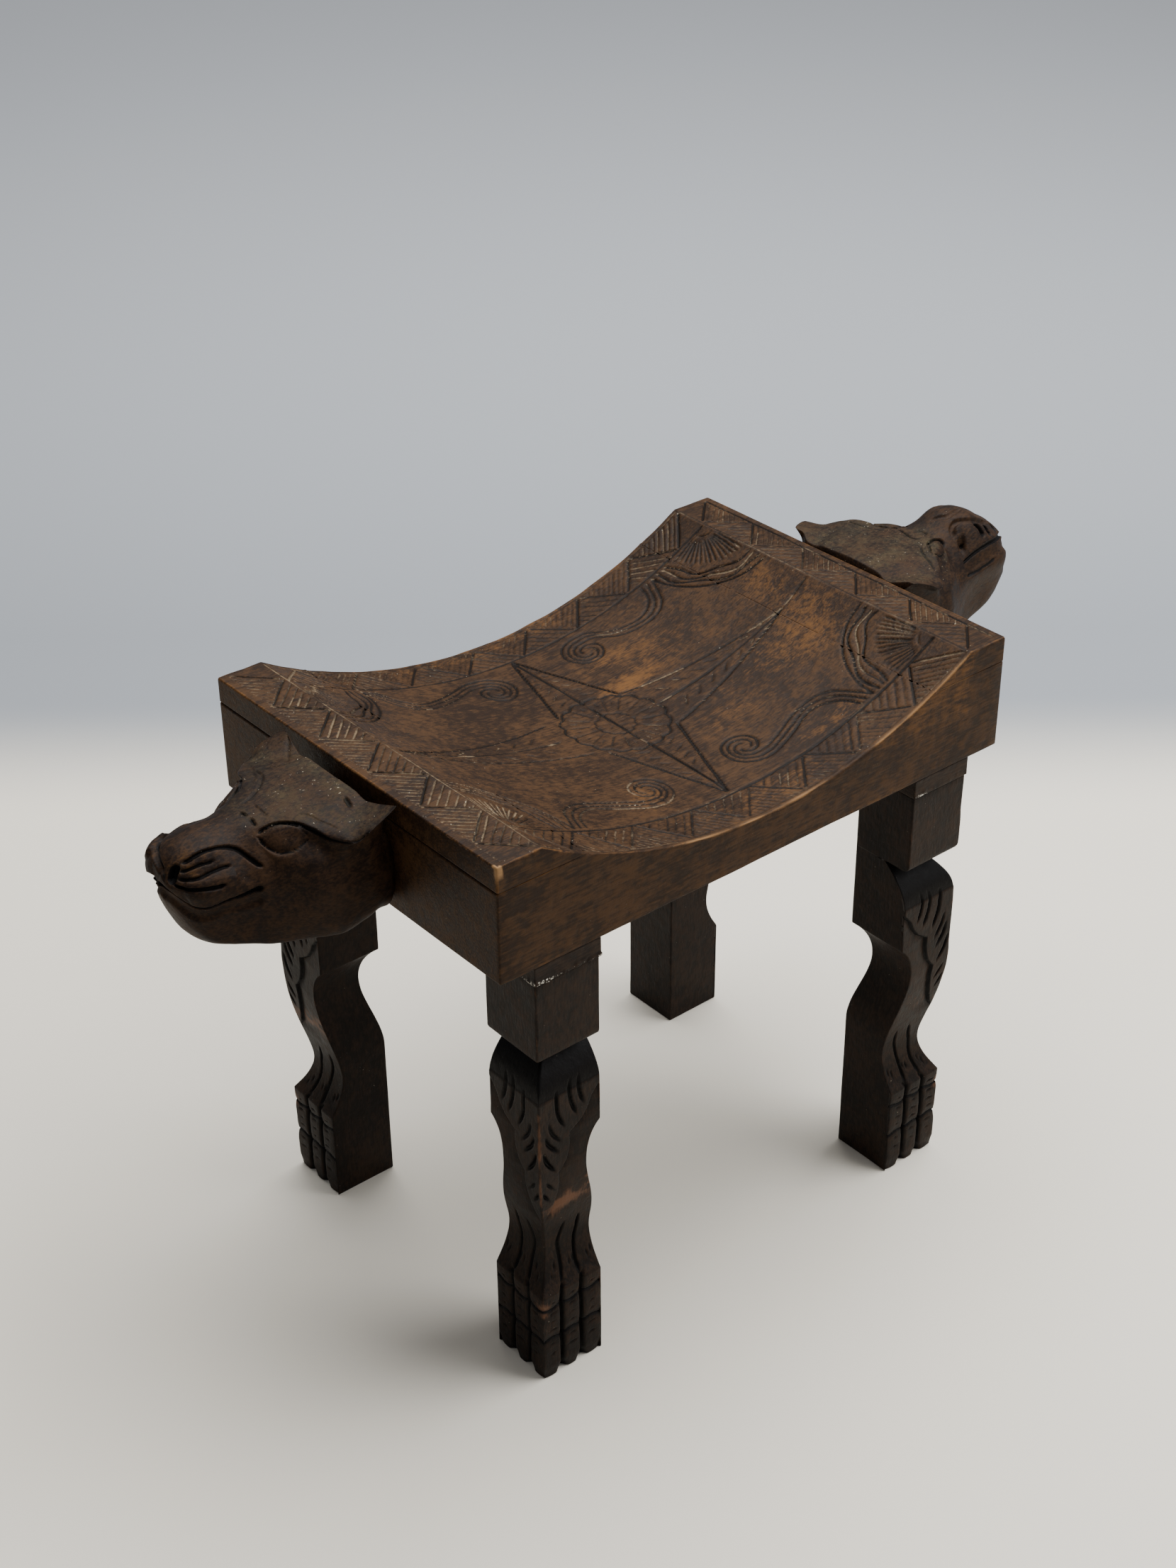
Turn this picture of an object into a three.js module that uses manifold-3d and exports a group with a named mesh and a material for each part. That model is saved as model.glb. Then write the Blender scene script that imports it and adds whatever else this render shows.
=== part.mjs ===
// Carved wooden stool with a cat's head at each end, in millimetres, +Z up.
// The origin is on the floor under the middle of the whole stool, with X along the seat.
// A dished plank carries two end boards on top, a head on each end and four legs below.
// Left is -X, front is -Y.
import * as THREE from "three";
import { mergeVertices } from "three/addons/utils/BufferGeometryUtils.js";
import Module from "manifold-3d";

const wasm = await Module();
wasm.setup();

// Seat: its flat ledges, the dish between them and the glue line under the end boards
const seatLength = 464.3;
const seatWidth = 318.7;
const seatHeight = 457;
const seatThickness = 89.6;
const endBoardThickness = 20;
const ledgeWidth = 36;
const dishDepth = 55;
const glueGap = 0.3;

// Legs: one square billet each, carved in profile on all four sides
const legWidth = 54;
const legInsetEnd = 29.4;
const legInsetSide = 2;
const padThickness = 15;
const padOverhang = 1;
const pawHeight = 78;
const ankleHeight = 110.5;
const ankleDepth = 13;
const shinTop = 199;
const kneeTop = 252;
const notchHeight = 287;
const notchDepth = 24;
const blockEdgeRadius = 5;
const heelTop = 124;
const hockHeight = 187;
const hockDepth = 12;
const hockTop = 215.5;

// Fullness of each curve of the profile: how far in and how far along its two handles lie, as
// shares of the curve's depth and rise
const pawCurve = { firstIn: 0.38, firstAlong: 0.21, lastAlong: 0.4 };
const shinCurve = { firstAlong: 0.18, lastAlong: 0.5 };
const bevelCurve = { firstAlong: 0.29, lastIn: 0.42, lastAlong: 0.31 };
const hockCurve = { firstIn: 0.66, firstAlong: 0.21, lastAlong: 0.45 };
const calfCurve = { firstAlong: 0.33, lastAlong: 0.36 };

// Paws: toes parted by grooves, knuckle cuts across them and notches between the tips
const toesPerFace = 3;
const toeGrooveWidth = 4.5;
const toeGrooveDepth = 4;
const knuckleWidth = 2.6;
const knuckleDepth = 2.2;
const knuckleHeights = [36.5, 65];
const toeTipNotch = 10;
const toeTipRise = 8;
const toeTipDepth = 9;
const toeTipBevel = 2.5;

// Heads, both cut to one pattern; the right one has a higher crown and a longer, higher muzzle.
// The ear on the stool's back side is cut wider on both, and higher on the right one.
const headLength = 147.1;
const headWidth = 131;
const headDepth = 91.5;
const crownAboveSeat = 0.5;
const muzzleStretch = 28.5;
const noseStretch = 5;
const muzzleLift = 9.5;
const crownLift = 3;
const backEarSpread = 5;
const rightEarLift = 5.5;

// Hidden dowels, with the clearance that their holes have
const dowelClearance = 0.3;
const legDowelDiameter = 20;
const legDowelInLeg = 35;
const legDowelInSeat = 38;
const headDowelDiameter = 14;
const headDowelInHead = 35;
const headDowelInSeat = 35;
const headDowelSpacing = 44;
const headDowelDrop = 55;
const dowelBevel = 1.5;
const dowelSides = 16;

// What follows from the sizes above
const seatBottom = seatHeight - seatThickness;
const glueLine = seatHeight - endBoardThickness;
const dishHalf = seatLength / 2 - ledgeWidth;
const dishRadius = (dishHalf ** 2 + dishDepth ** 2) / (2 * dishDepth);
const dishCentre = seatHeight - dishDepth + dishRadius;
const padTop = seatBottom - glueGap;
const padBottom = padTop - padThickness;
const legTop = padBottom - glueGap;
const legCentreX = seatLength / 2 - legInsetEnd - legWidth / 2;
const legCentreY = seatWidth / 2 - legInsetSide - legWidth / 2;
const crownHeight = seatHeight + crownAboveSeat;

// Finishes: stained hardwood, a little lighter on the end boards, greyer on the heads
const darkWood = new THREE.MeshStandardMaterial({ color: 0x3a2417, roughness: 0.55 });
const boardWood = new THREE.MeshStandardMaterial({ color: 0x46301f, roughness: 0.6 });
const headWood = new THREE.MeshStandardMaterial({ color: 0x453a30, roughness: 0.65 });
const rawWood = new THREE.MeshStandardMaterial({ color: 0xb08a5c, roughness: 0.8 });

// A closed geometry as a solid for cutting and joining
function solidOf(geometry) {
  const bare = geometry.clone();
  bare.deleteAttribute("normal");
  bare.deleteAttribute("uv");
  const merged = mergeVertices(bare, 1e-4);
  return new wasm.Manifold(
    new wasm.Mesh({
      numProp: 3,
      vertProperties: merged.attributes.position.array,
      triVerts: new Uint32Array(merged.index.array),
    }),
  );
}

// A solid back as a geometry with flat shaded faces
function geometryOf(solid) {
  const mesh = solid.getMesh();
  const geometry = new THREE.BufferGeometry();
  geometry.setAttribute("position", new THREE.BufferAttribute(mesh.vertProperties, 3));
  geometry.setIndex(new THREE.BufferAttribute(mesh.triVerts, 1));
  const faceted = geometry.toNonIndexed();
  faceted.computeVertexNormals();
  return faceted;
}

// An outline in X and Z swept to both sides of Y = 0
function sweptAlongY(outline, width, steps = 12) {
  const geometry = new THREE.ExtrudeGeometry(outline, {
    depth: width,
    bevelEnabled: false,
    curveSegments: steps,
  });
  geometry.rotateX(Math.PI / 2);
  geometry.translate(0, width / 2, 0);
  return geometry;
}

// A round bar with bevelled ends, standing on Z = 0
function roundBar(diameter, length, bevel) {
  const radius = diameter / 2;
  const profile = [
    new THREE.Vector2(0, 0),
    new THREE.Vector2(radius - bevel, 0),
    new THREE.Vector2(radius, bevel),
    new THREE.Vector2(radius, length - bevel),
    new THREE.Vector2(radius - bevel, length),
    new THREE.Vector2(0, length),
  ];
  return new THREE.LatheGeometry(profile, dowelSides).rotateX(Math.PI / 2);
}

// The hole for a bar: the same bar, fatter by the clearance and longer by it at both ends
function barHole(diameter, length) {
  const hole = roundBar(diameter + 2 * dowelClearance, length + 2 * dowelClearance, dowelBevel);
  return hole.translate(0, 0, -dowelClearance);
}

// The half width of the dish at a height
function dishReach(height) {
  return Math.sqrt(dishRadius ** 2 - (dishCentre - height) ** 2);
}

// The dish's arc from one side to the other, as angles about its centre
function dishAngle(x, height) {
  return Math.atan2(height - dishCentre, x);
}

// Places of the four legs: name, centre and how many quarter turns bring its carved corner outward
const legPlaces = [
  { name: "back_right", x: legCentreX, y: legCentreY, turns: 0 },
  { name: "back_left", x: -legCentreX, y: legCentreY, turns: 1 },
  { name: "front_left", x: -legCentreX, y: -legCentreY, turns: 2 },
  { name: "front_right", x: legCentreX, y: -legCentreY, turns: 3 },
];
const legDowelLength = legDowelInLeg + padThickness + 2 * glueGap + legDowelInSeat;
const legDowelBottom = legTop - legDowelInLeg;

// Places of the head dowels across the seat's ends
const headDowelHeight = seatHeight - headDowelDrop;
const headDowelLength = headDowelInHead + glueGap + headDowelInSeat;
const headDowelStart = seatLength / 2 - headDowelInSeat;
const headDowelPlaces = [-headDowelSpacing / 2, headDowelSpacing / 2];

// Seat plank: up to the glue line, with the bottom of the dish cut through it
function makeSeatPlank() {
  const reach = dishReach(glueLine);
  const outline = new THREE.Shape();
  outline.moveTo(-seatLength / 2, seatBottom);
  outline.lineTo(seatLength / 2, seatBottom);
  outline.lineTo(seatLength / 2, glueLine);
  outline.lineTo(reach, glueLine);
  const from = dishAngle(reach, glueLine);
  outline.absarc(0, dishCentre, dishRadius, from, -Math.PI - from, true);
  outline.lineTo(-seatLength / 2, glueLine);
  outline.closePath();
  let plank = solidOf(sweptAlongY(outline, seatWidth, 32));
  for (const place of legPlaces) {
    const hole = barHole(legDowelDiameter, legDowelLength);
    hole.translate(place.x, place.y, legDowelBottom);
    plank = plank.subtract(solidOf(hole));
  }
  for (const side of [-1, 1]) {
    for (const y of headDowelPlaces) {
      const hole = barHole(headDowelDiameter, headDowelLength);
      hole.rotateY((side * Math.PI) / 2);
      hole.translate(side * headDowelStart, y, headDowelHeight);
      plank = plank.subtract(solidOf(hole));
    }
  }
  return geometryOf(plank);
}

// End board: what the dish leaves of the top layer at the right end of the seat
function makeEndBoard() {
  const under = glueLine + glueGap;
  const reach = dishReach(under);
  const outline = new THREE.Shape();
  outline.moveTo(reach, under);
  outline.lineTo(seatLength / 2, under);
  outline.lineTo(seatLength / 2, seatHeight);
  outline.lineTo(dishHalf, seatHeight);
  outline.absarc(0, dishCentre, dishRadius, dishAngle(dishHalf, seatHeight), dishAngle(reach, under), true);
  outline.closePath();
  return sweptAlongY(outline, seatWidth, 6);
}

// Leg outline: the inner face is at U = 0 and the outer face at U = legWidth
function legOutline() {
  const ankleU = legWidth - ankleDepth;
  const neckU = legWidth - notchDepth;
  const pawRise = ankleHeight - pawHeight;
  const shinRise = shinTop - ankleHeight;
  const kneeRise = notchHeight - kneeTop;
  const hockRise = hockTop - hockHeight;
  const calfRise = hockHeight - heelTop;
  const outline = new THREE.Shape();
  outline.moveTo(0, 0);
  outline.lineTo(legWidth, 0);
  outline.lineTo(legWidth, pawHeight);
  outline.bezierCurveTo(
    legWidth - pawCurve.firstIn * ankleDepth, pawHeight + pawCurve.firstAlong * pawRise,
    ankleU, ankleHeight - pawCurve.lastAlong * pawRise,
    ankleU, ankleHeight,
  );
  outline.bezierCurveTo(
    ankleU, ankleHeight + shinCurve.firstAlong * shinRise,
    legWidth, shinTop - shinCurve.lastAlong * shinRise,
    legWidth, shinTop,
  );
  outline.lineTo(legWidth, kneeTop);
  outline.bezierCurveTo(
    legWidth, kneeTop + bevelCurve.firstAlong * kneeRise,
    legWidth - bevelCurve.lastIn * notchDepth, notchHeight - bevelCurve.lastAlong * kneeRise,
    neckU, notchHeight,
  );
  outline.lineTo(legWidth - blockEdgeRadius, notchHeight);
  outline.absarc(
    legWidth - blockEdgeRadius, notchHeight + blockEdgeRadius, blockEdgeRadius, -Math.PI / 2, 0, false,
  );
  outline.lineTo(legWidth, legTop);
  outline.lineTo(0, legTop);
  outline.lineTo(0, hockTop);
  outline.bezierCurveTo(
    hockCurve.firstIn * hockDepth, hockTop - hockCurve.firstAlong * hockRise,
    hockDepth, hockHeight + hockCurve.lastAlong * hockRise,
    hockDepth, hockHeight,
  );
  outline.bezierCurveTo(
    hockDepth, hockHeight - calfCurve.firstAlong * calfRise,
    0, heelTop + calfCurve.lastAlong * calfRise,
    0, heelTop,
  );
  outline.closePath();
  return outline;
}

// A wedge for grooves: a triangle of the given width and depth, swept along Y, its point at X = -depth
function wedge(width, depth, length) {
  const outline = new THREE.Shape();
  outline.moveTo(-depth, 0);
  outline.lineTo(1, -width / 2 - width / (2 * depth));
  outline.lineTo(1, width / 2 + width / (2 * depth));
  outline.closePath();
  return sweptAlongY(outline, length);
}

// The cuts on the outer face at X = legWidth / 2, in a frame centred on the leg
function faceCuts() {
  const cuts = [];
  const face = legWidth / 2;
  const toeWidth = legWidth / toesPerFace;
  for (let i = 1; i < toesPerFace; i++) {
    const y = -face + i * toeWidth;
    const groove = wedge(toeGrooveWidth, toeGrooveDepth, 2 * pawHeight);
    groove.rotateX(Math.PI / 2);
    groove.translate(face, y, 0);
    cuts.push(groove);
    const notch = new THREE.CylinderGeometry(0, toeTipNotch, 2 * toeTipRise, 4);
    notch.rotateX(Math.PI / 2);
    notch.scale(toeTipDepth / toeTipNotch, 1, 1);
    notch.translate(face, y, 0);
    cuts.push(notch);
  }
  for (const z of knuckleHeights) {
    const cut = wedge(knuckleWidth, knuckleDepth, 2 * legWidth);
    cut.translate(face, 0, z);
    cuts.push(cut);
  }
  const bevel = new THREE.BoxGeometry(2 * toeTipBevel, 2 * legWidth, 2 * toeTipBevel);
  bevel.rotateY(Math.PI / 4);
  bevel.translate(face + 0.25 * toeTipBevel, 0, -0.25 * toeTipBevel);
  cuts.push(bevel);
  return cuts;
}

// Leg with its carved corner at +X +Y: two crossed profiles, then the toes
function makeLeg() {
  const profile = sweptAlongY(legOutline(), legWidth, 7);
  profile.translate(-legWidth / 2, 0, 0);
  const crossed = profile.clone().rotateZ(Math.PI / 2);
  let leg = solidOf(profile).intersect(solidOf(crossed));
  for (const cut of faceCuts()) {
    leg = leg.subtract(solidOf(cut));
    // The same cut on the other outer face, turned over so that both meet at the corner toe
    leg = leg.subtract(solidOf(cut.clone().rotateZ(Math.PI / 2)));
  }
  const hole = barHole(legDowelDiameter, legDowelLength).translate(0, 0, legDowelBottom);
  return geometryOf(leg.subtract(solidOf(hole)));
}

// Packing pad between leg and seat, with the dowel's hole through it
function makePad() {
  const width = legWidth + 2 * padOverhang;
  const pad = new THREE.BoxGeometry(width, width, padThickness);
  pad.translate(0, 0, (padTop + padBottom) / 2);
  const hole = barHole(legDowelDiameter, legDowelLength).translate(0, 0, legDowelBottom);
  return geometryOf(solidOf(pad).subtract(solidOf(hole)));
}

// Head pattern: ten guide lines from the middle of the crown round to the middle of the jaw.
// Columns: crown middle, crown half way, root of the ear, crown edge and ear, crease under the
// edge, eye, cheek, mouth, jaw edge, jaw middle. Each station gives its place along the lines,
// then out: distance from the seat's end, wide: half width, and down: drop below the crown.
// The numbers are millimetres on the carver's pattern, which is scaled to the head's own size.
const linePlaces = [0, 1, 1.6, 2.3, 2.8, 3.5, 4.4, 5.4, 6.4, 7.7];
const stations = [
  {
    at: 0,
    out: [0, 0, 0, 0, 0, 0, 0, 0, 0, 0],
    wide: [0, 16, 24, 32, 39, 45, 49, 49, 40, 0],
    down: [17.5, 18.5, 20.5, 24.5, 30.5, 37.5, 51.5, 69.5, 81.5, 85.5],
  },
  {
    at: 0.8,
    out: [7, 7, 7, 7, 7, 7, 7, 7, 7, 7],
    wide: [0, 16, 25, 34, 41, 49, 55, 54, 45, 0],
    down: [18.5, 19.5, 21.5, 25.5, 30.5, 37.5, 51.5, 71.5, 84.5, 88.5],
  },
  {
    at: 1.2,
    out: [13, 12, 11, 5.5, 9, 12, 13, 13, 13, 13],
    wide: [0, 27, 38, 63, 56, 52, 57, 55, 44, 0],
    down: [0.5, 1.5, 4.5, -1.5, 7.5, 25.5, 49.5, 71.5, 84.5, 89],
  },
  {
    at: 2,
    out: [24, 24, 24, 22, 23, 24, 25, 25, 25, 25],
    wide: [0, 28, 42, 65.5, 57, 56, 59, 57, 46, 0],
    down: [0, 1, 5.5, 5.5, 13.5, 27.5, 49.5, 71.5, 86.5, 90],
  },
  {
    at: 3,
    out: [38, 38, 38, 38, 39, 41, 42, 42, 42, 42],
    wide: [0, 28, 45, 62.5, 57, 56, 59, 57, 46, 0],
    down: [0, 1.5, 5.5, 14, 18.5, 29.5, 49.5, 73.5, 89.5, 91.5],
  },
  {
    at: 3.6,
    out: [48, 48, 48, 48, 49, 50, 51, 51, 51, 51],
    wide: [0, 28, 42, 53, 50, 54, 58, 56, 44, 0],
    down: [0.5, 1.5, 4.5, 12, 16.5, 28.5, 49.5, 71.5, 89, 91.5],
  },
  {
    at: 4.2,
    out: [58, 58, 58, 58, 58, 60, 62, 62, 62, 62],
    wide: [0, 22, 32, 38.5, 41, 52, 55, 52, 41, 0],
    down: [1, 1.5, 2, 4, 11.5, 26.5, 46.5, 68.5, 87.5, 91],
  },
  {
    at: 4.9,
    out: [70, 70, 70, 70, 71, 72, 73, 74, 74, 74],
    wide: [0, 14, 20, 27.5, 33, 46, 48, 46, 37, 0],
    down: [1.5, 2, 2.5, 4, 10.5, 25.5, 43.5, 65.5, 86.5, 90],
  },
  {
    at: 5.6,
    out: [85, 85, 85, 85, 86, 87, 87, 87, 87, 87],
    wide: [0, 11, 16, 21, 27, 36, 41, 40, 34, 0],
    down: [2, 3, 4.5, 7.5, 13.5, 25.5, 39.5, 61.5, 84.5, 89],
  },
  {
    at: 6.4,
    out: [99, 99, 99, 99, 99, 99, 99, 99, 99, 99],
    wide: [0, 8, 12.5, 18, 25, 33, 37, 34, 30, 0],
    down: [2.5, 3.5, 5.5, 8.5, 15.5, 26.5, 37.5, 55.5, 80.5, 87.5],
  },
  {
    at: 7.2,
    out: [113, 113, 113, 113, 113, 113, 113, 113, 112, 112],
    wide: [0, 8, 13, 19, 26, 32, 34.5, 29, 26, 0],
    down: [2.5, 3.5, 5.5, 7.5, 14.5, 24.5, 35.5, 53.5, 76.5, 85],
  },
  {
    at: 8,
    out: [126, 126, 126, 126, 127, 128, 128, 124.5, 123, 123],
    wide: [0, 7, 12, 17, 24, 30.5, 32, 27, 23.5, 0],
    down: [4, 5, 6.5, 9, 15.5, 24.5, 35.5, 51.5, 71.5, 80.5],
  },
  {
    at: 8.8,
    out: [136.2, 136.2, 136.6, 136.6, 137.5, 138.4, 137.5, 133.8, 132.5, 132.5],
    wide: [0, 5.5, 9.5, 14, 20, 25, 25, 22, 18.5, 0],
    down: [7.5, 8, 9.5, 12, 17.5, 24.5, 34.5, 49.5, 62.5, 70.5],
  },
  {
    at: 9.5,
    out: [143, 143, 143, 143.4, 144.3, 144.8, 143.9, 140.2, 139.3, 139.3],
    wide: [0, 4, 7, 10.5, 14, 17, 16, 15, 13, 0],
    down: [12, 12.5, 13.5, 15.5, 19.5, 25, 32.5, 43.5, 50.5, 55.5],
  },
  {
    at: 9.9,
    out: [146.1, 146.1, 146.1, 146.6, 147.1, 147.1, 146.6, 144.8, 144.3, 144.3],
    wide: [0, 2.5, 4.5, 6.5, 8.5, 9.5, 9, 7.5, 6, 0],
    down: [17.5, 18, 19, 20.5, 23, 26, 30.5, 35.5, 38.5, 41.5],
  },
];
const patternLength = Math.max(...stations.flatMap((s) => s.out));
const patternWidth = 2 * Math.max(...stations.flatMap((s) => s.wide));
const patternDepth = Math.max(...stations.flatMap((s) => s.down));
const muzzleTip = { at: 10.3, out: patternLength, down: 29.5 };
const stepsPerStation = 2;
const stepsPerLine = 2;

// Where the right head departs from the pattern, as places along it and down it: the crown rises
// over crownSpan, the muzzle rises more over liftSpan, settles again over settleSpan by a share
// and moves out over stretchSpan. The rises fade over fadeSpan down the head.
const crownSpan = [0, 10];
const liftSpan = [80, 108];
const settleSpan = [116, 142];
const muzzleSettling = 0.8;
const stretchSpan = [95, 145];
const fadeSpan = [7.5, 52.5];

// Where the ear on the stool's back side lies: it starts and ends along the pattern over these
// places, fades down the head over its depth and towards the crown's middle over its width
const earStart = [10, 26];
const earEnd = [50, 80];
const earDepth = [8, 26];
const earWidth = [20, 50];

// Eyes and nostrils: a point of the skin, radii, long axis, outward direction and depth of the
// middle below the skin, for the same pattern. The socket is wider than its eye and shallower.
const eye = {
  middle: [71, 31.5, -10.5],
  radii: [15, 8.5, 6.5],
  along: [0.795, -0.605, 0.036],
  outward: [0.414, 0.585, 0.697],
  sunk: 3,
};
const nostril = {
  middle: [138, 15.5, -18.5],
  radii: [3.5, 5.5, 5],
  along: [0.6, -0.75, 0.2],
  outward: [0.7, 0.6, 0.35],
  sunk: 0,
};
const socketMargin = 2;
const socketRise = 0.8;

// Slopes of a curve through values at places that never overshoots them
function smoothSlopes(places, values) {
  const last = places.length - 1;
  const rise = [];
  for (let i = 0; i < last; i++) rise.push((values[i + 1] - values[i]) / (places[i + 1] - places[i]));
  const slopes = [rise[0]];
  for (let i = 1; i < last; i++) {
    const before = places[i] - places[i - 1];
    const after = places[i + 1] - places[i];
    const a = 2 * after + before;
    const b = after + 2 * before;
    const turns = rise[i - 1] * rise[i] <= 0;
    slopes.push(turns ? 0 : (a + b) / (a / rise[i - 1] + b / rise[i]));
  }
  slopes.push(rise[last - 1]);
  return slopes;
}

// The curve through values at places, read at each of the wanted places
function smoothThrough(places, values, wanted) {
  const slopes = smoothSlopes(places, values);
  return wanted.map((q) => {
    let i = 0;
    while (i < places.length - 2 && q >= places[i + 1]) i++;
    const span = places[i + 1] - places[i];
    const t = (q - places[i]) / span;
    const u = 1 - t;
    return (
      (1 + 2 * t) * u * u * values[i] +
      t * u * u * span * slopes[i] +
      t * t * (3 - 2 * t) * values[i + 1] -
      t * t * u * span * slopes[i + 1]
    );
  });
}

// Each span between places cut into equal steps
function steppedPlaces(places, steps) {
  const all = [places[0]];
  for (let i = 1; i < places.length; i++) {
    for (let k = 1; k <= steps; k++) all.push(places[i - 1] + ((places[i] - places[i - 1]) * k) / steps);
  }
  return all;
}

// 0 before from, 1 after to, with a smooth step between them
function smoothStep(value, from, to) {
  const t = Math.min(Math.max((value - from) / (to - from), 0), 1);
  return t * t * (3 - 2 * t);
}

// How fully a point lies on the ear on the stool's back side: 1 on it and 0 away from it
function onBackEar(out, wide, down, back) {
  if (Math.sign(wide) !== back) return 0;
  const along = smoothStep(out, ...earStart) * (1 - smoothStep(out, ...earEnd));
  return along * (1 - smoothStep(down, ...earDepth)) * smoothStep(Math.abs(wide), ...earWidth);
}

// A point of the pattern at the head's real size, with the head's own shift: its crown and
// muzzle rise, its muzzle moves out, most on the lower lines, and its back ear is shifted
function headPoint(out, wide, down, shift) {
  const upper = 1 - Math.min(Math.max((down - fadeSpan[0]) / (fadeSpan[1] - fadeSpan[0]), 0), 1);
  const stretch = shift.lowerStretch * (1 - upper) + shift.upperStretch * upper;
  const crownRise = shift.crown * smoothStep(out, ...crownSpan);
  const settled = 1 - muzzleSettling * smoothStep(out, ...settleSpan);
  const muzzleRise = shift.lift * smoothStep(out, ...liftSpan) * settled;
  const ear = onBackEar(out, wide, down, shift.back);
  return new THREE.Vector3(
    (out * headLength) / patternLength + stretch * smoothStep(out, ...stretchSpan),
    (wide * headWidth) / patternWidth + Math.sign(wide) * backEarSpread * ear,
    crownHeight - (down * headDepth) / patternDepth + (crownRise + muzzleRise) * upper + shift.ear * ear,
  );
}

// Closed rings of points round the head, from the seat's end to the muzzle
function headRings(shift) {
  const places = [...stations.map((s) => s.at), muzzleTip.at];
  const alongPlaces = steppedPlaces(places, stepsPerStation);
  alongPlaces.pop();
  const roundPlaces = steppedPlaces(linePlaces, stepsPerLine);
  const lines = linePlaces.map((_, k) => ({
    out: smoothThrough(places, [...stations.map((s) => s.out[k]), muzzleTip.out], alongPlaces),
    wide: smoothThrough(places, [...stations.map((s) => s.wide[k]), 0], alongPlaces),
    down: smoothThrough(places, [...stations.map((s) => s.down[k]), muzzleTip.down], alongPlaces),
  }));
  // The lines repeat past both middles, so that the curve crosses them square
  const last = linePlaces.length - 1;
  const order = [2, 1, ...linePlaces.keys(), last - 1, last - 2];
  const ends = [-linePlaces[2], -linePlaces[1]];
  const beyond = [2 * linePlaces[last] - linePlaces[last - 1], 2 * linePlaces[last] - linePlaces[last - 2]];
  const wrapped = [...ends, ...linePlaces, ...beyond];
  return alongPlaces.map((_, i) => {
    const mirror = (slot) => (slot < 2 || slot > last + 2 ? -1 : 1);
    const out = smoothThrough(wrapped, order.map((k) => lines[k].out[i]), roundPlaces);
    const wide = smoothThrough(wrapped, order.map((k, slot) => mirror(slot) * lines[k].wide[i]), roundPlaces);
    const down = smoothThrough(wrapped, order.map((k) => lines[k].down[i]), roundPlaces);
    const half = (side) => out.map((o, j) => headPoint(o, side * wide[j], down[j], shift));
    const near = half(1);
    near[0].y = 0;
    near[near.length - 1].y = 0;
    return [...near, ...half(-1).slice(1, -1).reverse()];
  });
}

// The skin over the rings, closed by a flat back and by the muzzle's tip
function headSkin(shift) {
  const rings = headRings(shift);
  const around = rings[0].length;
  const back = new THREE.Vector3(0, 0, (rings[0][0].z + rings[0][around / 2].z) / 2);
  const tip = headPoint(muzzleTip.out, 0, muzzleTip.down, shift);
  const points = [...rings.flat(), back, tip];
  const backIndex = points.length - 2;
  const tipIndex = points.length - 1;
  const faces = [];
  for (let i = 0; i < rings.length - 1; i++) {
    for (let j = 0; j < around; j++) {
      const a = i * around + j;
      const b = i * around + ((j + 1) % around);
      faces.push(a, a + around, b, b, a + around, b + around);
    }
  }
  const front = (rings.length - 1) * around;
  for (let j = 0; j < around; j++) {
    const next = (j + 1) % around;
    faces.push(backIndex, j, next);
    faces.push(front + j, tipIndex, front + next);
  }
  const geometry = new THREE.BufferGeometry();
  const flat = new Float32Array(points.flatMap((p) => [p.x, p.y, p.z]));
  geometry.setAttribute("position", new THREE.BufferAttribute(flat, 3));
  geometry.setIndex(faces);
  return geometry;
}

// An egg shape on one side of the head, for an eye, its socket or a nostril
function eggShape(egg, side, margin, rise, shift) {
  const along = new THREE.Vector3(...egg.along).normalize();
  const outward = new THREE.Vector3(...egg.outward);
  outward.addScaledVector(along, -outward.dot(along)).normalize();
  const across = new THREE.Vector3().crossVectors(outward, along);
  const [out, wide, up] = egg.middle;
  const middle = headPoint(out, wide, -up, shift).addScaledVector(outward, rise - egg.sunk);
  const shape = new THREE.SphereGeometry(1, 12, 6);
  shape.scale(egg.radii[0] + margin, egg.radii[1] + margin, egg.radii[2]);
  shape.applyMatrix4(new THREE.Matrix4().makeBasis(along, across, outward));
  shape.translate(middle.x, middle.y, middle.z);
  if (side < 0) {
    shape.scale(1, -1, 1);
    shape.index.array.reverse();
  }
  return shape;
}

// Head, looking along +X from the seat's right end
function makeHead(shift) {
  let head = solidOf(headSkin(shift));
  for (const side of [-1, 1]) {
    head = head.subtract(solidOf(eggShape(eye, side, socketMargin, socketRise, shift)));
    head = head.add(solidOf(eggShape(eye, side, 0, 0, shift)));
    head = head.subtract(solidOf(eggShape(nostril, side, 0, 0, shift)));
  }
  for (const y of headDowelPlaces) {
    const hole = barHole(headDowelDiameter, headDowelLength);
    hole.rotateY(Math.PI / 2);
    hole.translate(-headDowelInSeat - glueGap, y, headDowelHeight);
    head = head.subtract(solidOf(hole));
  }
  return geometryOf(head);
}

// A named mesh at its place
function addMesh(parent, name, geometry, material) {
  const mesh = new THREE.Mesh(geometry, material);
  mesh.name = name;
  parent.add(mesh);
  return mesh;
}

const stool = new THREE.Group();

// Seat: the plank, and an end board over each of its ends
addMesh(stool, "seat_plank", makeSeatPlank(), darkWood);
const endBoard = makeEndBoard();
addMesh(stool, "end_board_right", endBoard, boardWood);
addMesh(stool, "end_board_left", endBoard, boardWood).rotation.z = Math.PI;

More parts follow.
